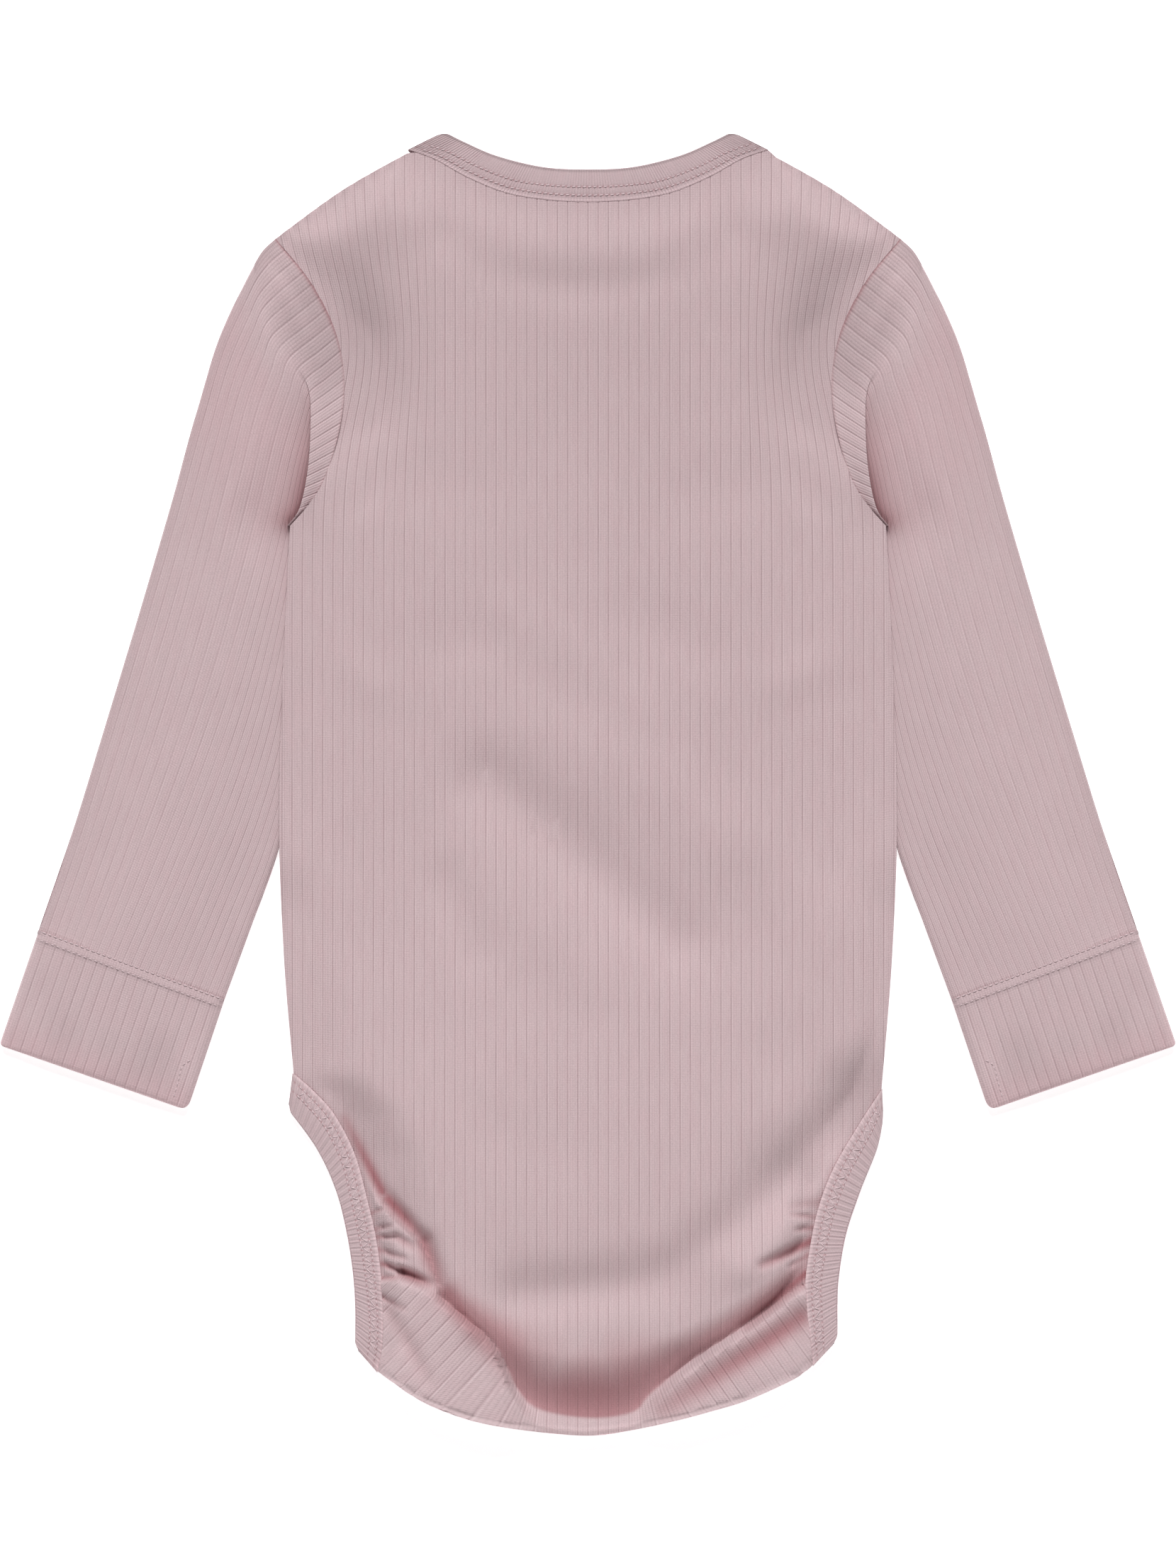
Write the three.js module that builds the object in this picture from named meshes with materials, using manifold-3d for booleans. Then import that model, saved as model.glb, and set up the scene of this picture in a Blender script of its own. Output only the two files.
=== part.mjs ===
// A baby bodysuit with long sleeves in drop-needle rib jersey, laid flat with its back up.
// Millimetres, +Z up, +Y towards the neck. It rests on z = 0, and the middle of its outline is the origin.
import * as THREE from 'three';
import { mergeVertices } from 'three/addons/utils/BufferGeometryUtils.js';
import Module from 'manifold-3d';

const wasm = await Module();
wasm.setup();

// Driving dimensions
const RIB_PITCH = 3.52;
const RIB_DEPTH = 0.35;
const BACK_WALL = 1.3;
const FRONT_WALL = 1.2;
const SLEEVE_WALL = 1.1;
const CUFF_WALL = 1.4;
const BINDING_WALL = 1.7;
const SEAM_GAP = 0.3;
const ARMHOLE_GAP = 0.55;
const LAYER_GAP = 0.3;
const LAYER_TOP = FRONT_WALL + LAYER_GAP;
const HALF_SPAN = 109;
const UNDERARM_Y = 88.6;
const TOP_REACH = 228;
const BOTTOM_REACH = -228;
const PLAIN_HALF_WIDTH = 70;
const PRISM_FLOOR = -5;
const PRISM_TOP = 40;
const CURVE_STEP = 4.5;
const HIDDEN_STEP = 8;
const UNDER_ROWS = 22;
const UNDER_SIDE_COLUMNS = 10;
const UNDER_MIDDLE_COLUMNS = 11;

// Outlines, each a smooth curve through [x, y]. Curves that are the same on both sides are given for the left.
const NECK_SEAM = [[-61.9, 218.6], [-52.9, 215.4], [-41.6, 209.2], [-28.5, 203.9], [-15, 201.5], [0, 200.7]];
const NECK_EDGE = [[-49.6, 224.7], [-42.6, 221.2], [-31.3, 216.4], [-15.4, 212.6], [0, 211.8]];
const FRONT_NECK_SEAM = [[-61, 217.2], [-57, 204], [-45, 187], [-25, 175], [0, 171]];
const FRONT_NECK_EDGE = [[-49.2, 223.2], [-46, 211], [-36, 196], [-20, 186], [0, 182.4]];
const SHOULDER = [[-62.6, 217.2], [-84.9, 204.5], [-107.9, 187.8]];
const ARMHOLE = [[-107.9, 187.8], [-95.7, 172.8], [-87.1, 155.3], [-84.2, 138.5], [-85.9, 121.6], [-91, 104.7],
  [-96.6, 95.6], [-102.8, 88.6]];
const LEFT_SIDE = [[-102.8, 88.6], [-105.3, 37], [-106.6, -13], [-105, -60], [-101.6, -100.6]];
const RIGHT_SIDE = [[102.8, 88.6], [105.3, 37], [106.6, -13], [105, -60], [101.3, -106.1]];
const LEFT_LEG_SEAM = [[-101.6, -100.6], [-95.4, -106], [-87.8, -114.4], [-80.9, -127.5], [-76.6, -142.6],
  [-72.9, -159.4], [-70.9, -178.2], [-70.8, -193.2], [-72.7, -203]];
const LEFT_LEG_EDGE = [[-103.5, -112.8], [-93.7, -126.3], [-86.9, -141], [-83.2, -155.7], [-81, -170.4],
  [-80.3, -183], [-80.5, -194.5]];
const RIGHT_LEG_SEAM = [[101.3, -106.1], [93.5, -118.2], [85, -132.9], [79.7, -146.6], [76.7, -160.6],
  [75.1, -173.8], [75.9, -185.8], [77.7, -200.8]];
const RIGHT_LEG_EDGE = [[102, -115.7], [99.8, -126.3], [94, -141], [89.1, -155.7], [86.6, -170.4],
  [86.1, -180], [86.2, -192]];
const BOTTOM = [[-72.7, -203], [-58.5, -212.6], [-43.2, -218.9], [-26.6, -222.5], [-1.2, -225], [15.1, -223.1],
  [33.9, -218.9], [54.8, -212.8], [71.7, -205.2], [77.7, -200.8]];
const SLEEVE_OUTER = [[-107.9, 187.8], [-113.1, 182.4], [-120.9, 167.7], [-130, 145.7], [-148.8, 79.5],
  [-175.5, -8.7], [-185.9, -40.6], [-190.1, -52]];
const SLEEVE_INNER = [[-103.6, 88.8], [-98.6, 60], [-98.6, 30], [-101.4, 0], [-106.9, -23.4], [-120.2, -60.1],
  [-125.9, -75.8]];
const SLEEVE_CREST = [[-110.5, 184.6], [-108.6, 172], [-104.8, 158], [-97, 147], [-92.8, 138],
  [-93.8, 121], [-96.2, 106], [-100.4, 94.8], [-103.6, 88.8]];
const CUFF_TOP = [[-190.2, -52.4], [-126, -76.2]];
const CUFF_END = [[-202.7, -88.9], [-201.4, -91.2], [-141.6, -112], [-137.2, -109.6]];

// Rows of the back's cloth over the gathered seat: how low each lies at the left seam, the middle and the right.
const SEAT_ROWS = [
  { left: -107, middle: -107, right: -107 },
  { left: -118, middle: -118, right: -118 },
  { left: -128, middle: -129, right: -128 },
  { left: -136, middle: -139, right: -136 },
  { left: -142.5, middle: -148, right: -143.5 },
  { left: -146.4, middle: -156, right: -148.4 },
  { left: -148.8, middle: -163, right: -150.4 },
  { left: -151.6, middle: -170, right: -151.9 },
  { left: -154.3, middle: -176, right: -154.2 },
  { left: -156.9, middle: -182, right: -156.6 },
  { left: -159, middle: -188, right: -159.4 },
  { left: -161, middle: -193, right: -162.2 },
  { left: -163.5, middle: -197.5, right: -165 },
  { left: -166, middle: -201.5, right: -167.2 },
  { left: -168.6, middle: -205.5, right: -169.2 },
  { left: -171, middle: -210, right: -171.4 },
  { left: -174.2, middle: -214, right: -175 },
  { left: -177.3, middle: -217.2, right: -179 },
  { left: -181.5, middle: -219.8, right: -184 },
  { left: -187.5, middle: -221.8, right: -189.5 },
  { left: -194.5, middle: -223.4, right: -196 },
  { left: -203, middle: -225.4, right: -204 },
  { left: -214, middle: -226.8, right: -214 },
];
const BODY_ROW_STEP = 40;
const SEAM_REACH = 66;
const MIDDLE_REACH = 16;

// Creases and valleys of the back, straight from one point to the next, deepest in the middle of their length.
const CREASES = [
  { name: 'leg fold left, top', from: [-85, -112], to: [-69.5, -145], depth: 1.8, width: 2.2 },
  { name: 'leg fold left, middle', from: [-69.5, -145], to: [-57, -158], depth: 2.4, width: 2.4 },
  { name: 'leg fold left, foot', from: [-57, -158], to: [-49.5, -176], depth: 2.4, width: 2.4 },
  { name: 'gather left 1', from: [-75.6, -148.8], to: [-66, -145.6], depth: 1.6, width: 1.3 },
  { name: 'gather left 2', from: [-74.2, -154.3], to: [-65, -152.2], depth: 1.6, width: 1.2 },
  { name: 'gather left 3', from: [-73.6, -156.9], to: [-58.8, -160], depth: 1.8, width: 1.3 },
  { name: 'gather left 4', from: [-72.8, -161], to: [-60, -165.4], depth: 1.8, width: 1.3 },
  { name: 'gather left 5', from: [-71.9, -166], to: [-51.3, -176.3], depth: 4.2, width: 1.9 },
  { name: 'gather left 6', from: [-71.4, -171], to: [-61, -169.6], depth: 1.5, width: 1.2 },
  { name: 'gather left 7', from: [-71, -177.3], to: [-61.5, -182], depth: 1.4, width: 1.3 },
  { name: 'gather right 1', from: [80.5, -144.7], to: [70, -146], depth: 0.9, width: 1.8 },
  { name: 'gather right 2', from: [78.5, -151.9], to: [72, -152.4], depth: 1.4, width: 1.2 },
  { name: 'gather right 3', from: [77.5, -156.6], to: [64, -161.5], depth: 2.4, width: 1.4 },
  { name: 'gather right 4', from: [76.6, -162.2], to: [69, -166.2], depth: 1.4, width: 1.2 },
  { name: 'gather right 5', from: [76, -167.2], to: [60, -183.4], depth: 3.4, width: 1.8 },
  { name: 'gather right 6', from: [75.4, -171.4], to: [68, -176.6], depth: 1.6, width: 1.2 },
  { name: 'lip valley left', from: [-68.1, -182], to: [-55, -205], depth: 1.6, width: 3 },
  { name: 'lip valley right', from: [71.7, -182], to: [29.5, -214], depth: 2, width: 3.4 },
];

// Soft swells (rise above 0) and hollows (below 0) of the back, each a round or oval mound.
const SWELLS = [
  { x: 0, y: 178, across: 34, along: 14, rise: -0.7 },
  { x: -66, y: 150, across: 12, along: 30, rise: -0.9 },
  { x: 66, y: 150, across: 12, along: 30, rise: -0.9 },
  { x: 0, y: 110, across: 46, along: 30, rise: 0.7 },
  { x: -40, y: 40, across: 30, along: 36, rise: 0.5 },
  { x: 20, y: 6, across: 26, along: 12, rise: -0.7 },
  { x: 48, y: -30, across: 24, along: 14, rise: 0.8 },
  { x: 2, y: -44, across: 30, along: 12, rise: -0.6 },
  { x: -50, y: -70, across: 22, along: 22, rise: 0.6 },
  { x: 50, y: -118, across: 20, along: 8, rise: -0.7 },
];
const EDGE_ROLL = 0.75;
const EDGE_ROLL_REACH = 2.6;
const PUFF = 1.7;
const PUFF_REACH = 26;
const SLEEVE_LIFT = 1.9;
const SLEEVE_MARGIN = 11;
const LIFT_REACH = 30;
const LIFT_FADE = 22;
const SLEEVE_OUT_Y = -24;
const LIFT_TOP_Y = UNDERARM_Y + 14;
const NECK_Y = 210;

// The turned-up lips at the crotch and the trough behind them, as heights y against x.
const LIP_EDGE = [[-75, -171.5], [-63.3, -169.9], [-54.8, -174.6], [-43.6, -183.5], [-33.1, -192.7],
  [-28.8, -201], [-24.5, -210], [-17, -216.6], [1, -219.6], [16, -217.4], [22.2, -211], [35.8, -199.7],
  [52.7, -188.5], [64.6, -179.8], [80, -168.5]];
const TROUGH_EDGE = [[-80, -168], [-50.9, -177.6], [-27, -197.7], [-13, -201.5], [5.8, -203.4], [17.5, -200.6],
  [37.6, -191.2], [60, -180], [80, -166]];
const FOLD_EDGE = [[-90, -100], [-84, -116.7], [-78.5, -130.6], [-70.2, -146], [-58.8, -157.4], [-52.6, -168.7],
  [-50.9, -179]];
const LIP_RISE = 9.6;
const MIDDLE_LIP_RISE = 2;
const SEAT_RISE = 5.2;
const FOLD_RISE = 6;
const FOLD_START_Y = -104;
const FOLD_FULL_Y = -150;
const LIP_START_X = 12;
const LIP_FULL_X = 34;
const LIP_ROLL = 13;
const LIP_AT_SEAM = 0.35;
const LAP_SLOPE = 1.5;
const LAP_REACH = 8;
const SEAT_START_Y = -112;
const SEAT_FULL_Y = -172;
const SEAT_REACH = 13;
const TROUGH_SLOPE = 7;
const CREASE_FADE = 3;
const CREASE_TAPER = 0.6;
const LIP_LEAN_LEFT = -0.95;
const LIP_LEAN_RIGHT = 0.7;

// Sleeves and cuffs, as flattened tubes
const SLEEVE_RIBS = 22;
const SLEEVE_ROWS = [0, 0.1, 0.22, 0.36, 0.52, 0.68, 0.84, 1];
const CUFF_RIBS = 18;
const EDGE_LEVEL = 1.2;
const FLOOR_STEPS = 4;
const ROOF_STEPS = 8;
const FLOOR_MARGIN = 1.2;
const SLEEVE_EDGE_HEIGHT = 2.7;
const SLEEVE_CROWN = 1.8;
const SLEEVE_CROWN_REACH = 30;
const SLEEVE_VALLEY = 1.2;
const VALLEY_REACH = 12;
const VALLEY_FADE = 40;
const SLEEVE_SAMPLES = 88;
const CREST_SHARE = 0.045;
const CUFF_EDGE_HEIGHT = 3.5;
const CUFF_CROWN = 0.9;
const CUFF_CROWN_REACH = 16;
const CUFF_ROWS = [0, 0.06, 0.5, 1];
const INNER_INSET = 2.6;

// Bindings and press studs
const BINDING_RIB_PITCH = 2.3;
const BINDING_RIB_DEPTH = 0.22;
const BINDING_CROWN = 0.35;
const BINDING_ROUND = 0.5;
const BINDING_EDGE_SHARE = 0.9;
const BINDING_CROWN_SHARE = 0.5;
const FOLD_SECTIONS = 6;
const NECK_FACETS = 16;
const NECK_FRONT_STEPS = 26;
const LEG_FRONT_STEPS = 20;
const LEG_LIFT = 0.9;
const LEG_LIFT_START_Y = -120;
const LEG_LIFT_FULL_Y = -150;
const LEG_LIFT_FADE_Y = -190;
const LEG_LIFT_END_Y = -203;
const FRONT_HIDES = 0.8;
const STUD_RADIUS = 4.6;
const STUD_SPACING = 22;
const STUD_ROW_Y = -207;
const STUD_ROW_RISE = 1.5;
const STUD_THICKNESS = 0.6;
const STUD_DIMPLE_RADIUS = 1.7;
const STUD_DIMPLE_DEPTH = 0.25;
const STUD_DIMPLE_SLOPE = 0.5;
const STUD_EDGE = 0.4;
const STUD_SIDES = 16;

const ROSE = 0xcdb9bb;
const STUD_COLOUR = 0xb9a9aa;

// Small helpers
const clamp = (v, low = 0, high = 1) => Math.min(high, Math.max(low, v));
const lerp = (a, b, t) => a + (b - a) * t;
const mix = (a, b, t) => a.map((v, i) => lerp(v, b[i], t));
const between = (from, to, count) => Array.from({ length: count + 1 }, (_, i) => lerp(from, to, i / count));
const mirror = (points) => points.map(([x, ...rest]) => [-x, ...rest]);
const backwards = (points) => [...points].reverse();

function smooth(from, to, v) {
  const t = clamp((v - from) / (to - from));
  return t * t * (3 - 2 * t);
}

// Points at even spacing on a smooth curve through the given ones.
function along(points, count) {
  const curve = new THREE.SplineCurve(points.map(([x, y]) => new THREE.Vector2(x, y)));
  return curve.getSpacedPoints(count).map((p) => [p.x, p.y]);
}

function lengthOf(points) {
  return points.slice(1).reduce((sum, p, i) => sum + Math.hypot(p[0] - points[i][0], p[1] - points[i][1]), 0);
}

const traced = (points, step = CURVE_STEP) => along(points, Math.ceil(lengthOf(points) / step));

// A curve's height y at x, straight between its points.
function heightAt(points, x) {
  const i = clamp(points.findIndex((p) => p[0] > x), 1, points.length - 1);
  const [a, b] = [points[i - 1], points[i]];
  return lerp(a[1], b[1], clamp((x - a[0]) / (b[0] - a[0])));
}

const swapped = (points) => backwards(points).map(([x, y]) => [y, x]);

function distanceTo(points, x, y) {
  return points.slice(1).reduce((least, b, i) => {
    const a = points[i];
    const [dx, dy] = [b[0] - a[0], b[1] - a[1]];
    const t = clamp(((x - a[0]) * dx + (y - a[1]) * dy) / (dx * dx + dy * dy));
    return Math.min(least, Math.hypot(x - a[0] - dx * t, y - a[1] - dy * t));
  }, Infinity);
}

const bothSides = (points) => [...points, ...backwards(mirror(points)).slice(1)];
const inset = (points, dx, dy) => points.map(([x, y]) => [x + dx, y + dy]);

// Whole curves, and curves turned so that x is read at a height y
const neckSeam = traced(bothSides(NECK_SEAM));
const armholeLeft = traced(ARMHOLE);
const upperAt = [...swapped(ARMHOLE), ...swapped(SHOULDER).slice(1)];
const sideAt = { left: swapped(LEFT_SIDE), right: swapped(RIGHT_SIDE) };
const legAt = { left: swapped(LEFT_LEG_SEAM), right: swapped(RIGHT_LEG_SEAM) };
const foldAt = swapped(FOLD_EDGE);

// Half width of the back at a height, on one side.
function edgeAt(side, y) {
  const leg = legAt[side];
  if (y > UNDERARM_Y) return Math.abs(heightAt(upperAt, y));
  if (y < leg[leg.length - 1][0]) return Math.abs(heightAt(leg, y));
  return Math.abs(heightAt(sideAt[side], y));
}

function creaseDepth(x, y) {
  return CREASES.reduce((sum, { from, to, depth, width }) => {
    const [dx, dy] = [to[0] - from[0], to[1] - from[1]];
    const t = clamp(((x - from[0]) * dx + (y - from[1]) * dy) / (dx * dx + dy * dy));
    const off = Math.hypot(x - from[0] - dx * t, y - from[1] - dy * t) / width;
    return sum + depth * (1 - CREASE_TAPER * t * t) * Math.exp(-off * off);
  }, 0);
}

// How far the middle of the back stands off the front, which a sleeve's margin under its side also lifts.
function underside(x, y) {
  const side = x < 0 ? 'left' : 'right';
  const inside = Math.max(0, edgeAt(side, y) - Math.abs(x));
  const swell = SWELLS.reduce(
    (sum, s) => sum + s.rise * Math.exp(-(((x - s.x) / s.across) ** 2) - ((y - s.y) / s.along) ** 2), 0);
  const puff = (PUFF + swell) * smooth(0, PUFF_REACH, inside) * smooth(NECK_Y, NECK_Y - PUFF_REACH, y);
  const overSleeve = smooth(SLEEVE_OUT_Y - LIFT_FADE, SLEEVE_OUT_Y, y)
    * smooth(LIFT_TOP_Y + LIFT_FADE, LIFT_TOP_Y, y) * smooth(LIFT_REACH, SLEEVE_MARGIN, inside);
  return LAYER_TOP + puff * (1 - overSleeve) + SLEEVE_LIFT * overSleeve;
}

// The full seat, from where it starts to rise down to the trough.
function seatHeight(x, y, inside) {
  const aboveTrough = y - heightAt(TROUGH_EDGE, x);
  return SEAT_RISE * smooth(SEAT_START_Y, SEAT_FULL_Y, y) * smooth(-TROUGH_SLOPE, TROUGH_SLOPE, aboveTrough)
    * smooth(0, SEAT_REACH, inside);
}

// The bulge between the left leg seam and the edge where it laps over the seat.
function bulgeHeight(x, y, inside) {
  if (x > 0) return 0;
  const pastEdge = heightAt(foldAt, y) - x;
  return FOLD_RISE * smooth(-LAP_SLOPE, LAP_SLOPE, pastEdge) * smooth(FOLD_START_Y, FOLD_FULL_Y, y)
    * smooth(0, LAP_REACH, inside);
}

// The folds that stand on the back: the full seat, the bulge at the left leg, and the turned-up lips.
function foldHeight(x, y) {
  const inside = edgeAt(x < 0 ? 'left' : 'right', y) - Math.abs(x);
  const onLip = smooth(-LAP_SLOPE, 2 * LAP_SLOPE, heightAt(LIP_EDGE, x) - y);
  const lipTop = lerp(MIDDLE_LIP_RISE, LIP_RISE, smooth(LIP_START_X, LIP_FULL_X, Math.abs(x)));
  const rolled = Math.sqrt(smooth(0, LIP_ROLL, y - heightAt(BOTTOM, x)));
  const lip = lipTop * rolled * lerp(LIP_AT_SEAM, 1, smooth(0, LAP_REACH, inside));
  const cloth = lerp(Math.max(seatHeight(x, y, inside), bulgeHeight(x, y, inside)), lip, onLip);
  return Math.max(0, cloth - creaseDepth(x, y) * smooth(0, CREASE_FADE, cloth));
}

// Rounds the side edges down, where the back turns round to the front.
function edgeRoll(x, y) {
  const side = x < 0 ? 'left' : 'right';
  const inside = clamp((edgeAt(side, y) - Math.abs(x)) / EDGE_ROLL_REACH);
  return y > UNDERARM_Y ? 0 : EDGE_ROLL * (1 - inside) ** 2;
}

// Meshes of points and faces
function gridFaces(rows, base, flip, wrap) {
  const faces = [];
  const columns = rows[0].length;
  for (let r = 0; r + 1 < rows.length; r += 1) {
    for (let c = 0; c < columns - (wrap ? 0 : 1); c += 1) {
      const d = (c + 1) % columns;
      const [p, q] = [base + r * columns + c, base + (r + 1) * columns + c];
      const [s, t] = [base + (r + 1) * columns + d, base + r * columns + d];
      const even = (r + c) % 2 === 0;
      const pair = even ? [[p, q, s], [p, s, t]] : [[p, q, t], [q, s, t]];
      faces.push(...pair.map((f) => (flip ? [...f].reverse() : f)));
    }
  }
  return faces;
}

// Joins two runs of vertices that go the same way, each with its share of the way at each vertex.
function zip(upper, lower) {
  const faces = [];
  let i = 0;
  let j = 0;
  while (i + 1 < upper.length || j + 1 < lower.length) {
    const upperNext = i + 1 < upper.length ? upper[i + 1].at : Infinity;
    const lowerNext = j + 1 < lower.length ? lower[j + 1].at : Infinity;
    if (upperNext <= lowerNext) {
      faces.push([lower[j].id, upper[i + 1].id, upper[i].id]);
      i += 1;
    } else {
      faces.push([lower[j].id, lower[j + 1].id, upper[i].id]);
      j += 1;
    }
  }
  return faces;
}

// The rim of a grid, counterclockwise from its first corner.
function rimOf(rows, base) {
  const [last, columns] = [rows.length - 1, rows[0].length];
  const id = (r, c) => base + r * columns + c;
  const rim = [];
  for (let r = 0; r < last; r += 1) rim.push({ id: id(r, 0), at: r / last });
  for (let c = 0; c < columns - 1; c += 1) rim.push({ id: id(last, c), at: 1 + c / (columns - 1) });
  for (let r = last; r > 0; r -= 1) rim.push({ id: id(r, columns - 1), at: 3 - r / last });
  for (let c = columns - 1; c >= 0; c -= 1) rim.push({ id: id(0, c), at: 4 - c / (columns - 1) });
  return rim;
}

function volumeOf(points, faces) {
  return faces.reduce((sum, [a, b, c]) => {
    const [p, q, r] = [points[a], points[b], points[c]];
    return sum + p[0] * (q[1] * r[2] - q[2] * r[1]) + p[1] * (q[2] * r[0] - q[0] * r[2])
      + p[2] * (q[0] * r[1] - q[1] * r[0]);
  }, 0) / 6;
}

function geometryFrom(points, faces) {
  const outward = volumeOf(points, faces) > 0 ? faces : faces.map((f) => [...f].reverse());
  const geometry = new THREE.BufferGeometry();
  geometry.setAttribute('position', new THREE.Float32BufferAttribute(points.flat(), 3));
  geometry.setIndex(outward.flat());
  return geometry;
}

// A sheet closed round its rim, from a grid of points for its top and a coarser one for its underside.
function sheet(top, bottom) {
  const base = top.length * top[0].length;
  const faces = [...gridFaces(top, 0, false, false), ...gridFaces(bottom, base, true, false),
    ...zip(rimOf(top, 0), rimOf(bottom, base))];
  return geometryFrom([...top.flat(), ...bottom.flat()], faces);
}

// A tube with open ends, from rings of its outside and coarser rings of its inside.
function tube(outer, inner) {
  const base = outer.length * outer[0].length;
  const ringOf = (rings, start, index) => {
    const count = rings[0].length;
    const idOf = (k) => start + index * count + (k % count);
    return Array.from({ length: count + 1 }, (_, k) => ({ id: idOf(k), at: k / count }));
  };
  const first = zip(ringOf(outer, 0, 0), ringOf(inner, base, 0));
  const last = zip(ringOf(outer, 0, outer.length - 1), ringOf(inner, base, inner.length - 1));
  const faces = [...gridFaces(outer, 0, false, true), ...gridFaces(inner, base, true, true),
    ...first.map((f) => [...f].reverse()), ...last];
  return geometryFrom([...outer.flat(), ...inner.flat()], faces);
}

// A closed loop of closed sections.
function loop(sections) {
  const rows = [...sections, sections[0]];
  const count = sections[0].length;
  const faces = gridFaces(rows, 0, false, true).map((f) => f.map((v) => v % (sections.length * count)));
  return geometryFrom(sections.flat(), faces);
}

function toSolid(geometry) {
  const plain = new THREE.BufferGeometry();
  plain.setAttribute('position', geometry.getAttribute('position'));
  plain.setIndex(geometry.getIndex());
  const merged = mergeVertices(plain, 1e-4);
  const mesh = new wasm.Mesh({
    numProp: 3,
    vertProperties: Float32Array.from(merged.getAttribute('position').array),
    triVerts: Uint32Array.from(merged.getIndex().array),
  });
  return new wasm.Manifold(mesh);
}

function toGeometry(solid) {
  const mesh = solid.getMesh();
  const geometry = new THREE.BufferGeometry();
  geometry.setAttribute('position', new THREE.BufferAttribute(Float32Array.from(mesh.vertProperties), 3));
  geometry.setIndex(new THREE.BufferAttribute(Uint32Array.from(mesh.triVerts), 1));
  return geometry;
}

// An upright prism on a closed outline of [x, y].
function prism(outline, from, to) {
  const shape = new THREE.Shape(outline.map(([x, y]) => new THREE.Vector2(x, y)));
  const geometry = new THREE.ExtrudeGeometry(shape, { depth: to - from, bevelEnabled: false });
  geometry.translate(0, 0, from);
  return geometry;
}

// The back, from a grid whose columns are rib lines and whose rows are courses of the cloth
const backOutline = [
  ...neckSeam,
  ...backwards(traced(mirror(backwards(SHOULDER)))).slice(1),
  ...mirror(armholeLeft).slice(1),
  ...traced(RIGHT_SIDE).slice(1),
  ...traced(RIGHT_LEG_SEAM).slice(1),
  ...backwards(traced(BOTTOM)).slice(1),
  ...backwards(traced(LEFT_LEG_SEAM)).slice(1),
  ...backwards(traced(LEFT_SIDE)).slice(1),
  ...backwards(armholeLeft).slice(1),
  ...backwards(traced(SHOULDER)).slice(1),
];

function rowHeight(row, u) {
  const seam = u < 0 ? row.left : row.right;
  const inward = clamp((SEAM_REACH - Math.abs(u)) / (SEAM_REACH - MIDDLE_REACH));
  return lerp(seam, row.middle, inward);
}

// Ribs run straight down the body, and lean outwards once they are over a lip.
function placeRib(u, y) {
  const below = Math.max(0, heightAt(LIP_EDGE, u) - y);
  const lean = u < 0 ? LIP_LEAN_LEFT : LIP_LEAN_RIGHT;
  return u + lean * below * smooth(LIP_START_X, LIP_FULL_X, Math.abs(u));
}

function backPanel() {
  const bodyRows = between(TOP_REACH, SEAT_ROWS[0].left + BODY_ROW_STEP,
    Math.round((TOP_REACH - SEAT_ROWS[0].left) / BODY_ROW_STEP) - 1);
  const last = { left: BOTTOM_REACH, middle: BOTTOM_REACH, right: BOTTOM_REACH };
  const rows = [...bodyRows.map((y) => ({ left: y, middle: y, right: y })), ...SEAT_ROWS, last];
  const half = Math.ceil(HALF_SPAN / (RIB_PITCH / 2));
  const columns = between(-half, half, 2 * half).map((n) => ({ u: n * RIB_PITCH / 2, groove: n % 2 === 0 }));
  const top = rows.map((row) => columns.map(({ u, groove }) => {
    const y = rowHeight(row, u);
    const x = placeRib(u, y);
    const crest = underside(x, y) + BACK_WALL + foldHeight(x, y) - edgeRoll(x, y);
    return [x, y, crest - (groove ? RIB_DEPTH : 0)];
  }));
  const outerX = HALF_SPAN + LIFT_REACH / 2;
  const across = [
    ...between(-outerX, -PLAIN_HALF_WIDTH, UNDER_SIDE_COLUMNS),
    ...between(-PLAIN_HALF_WIDTH, PLAIN_HALF_WIDTH, UNDER_MIDDLE_COLUMNS).slice(1, -1),
    ...between(PLAIN_HALF_WIDTH, outerX, UNDER_SIDE_COLUMNS),
  ];
  const under = between(TOP_REACH, BOTTOM_REACH, UNDER_ROWS);
  const bottom = under.map((y) => across.map((x) => [x, y, underside(x, y)]));
  const cut = toSolid(prism(backOutline, PRISM_FLOOR, PRISM_TOP));
  const solid = toSolid(sheet(top, bottom)).intersect(cut);
  return toGeometry(solid);
}

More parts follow.
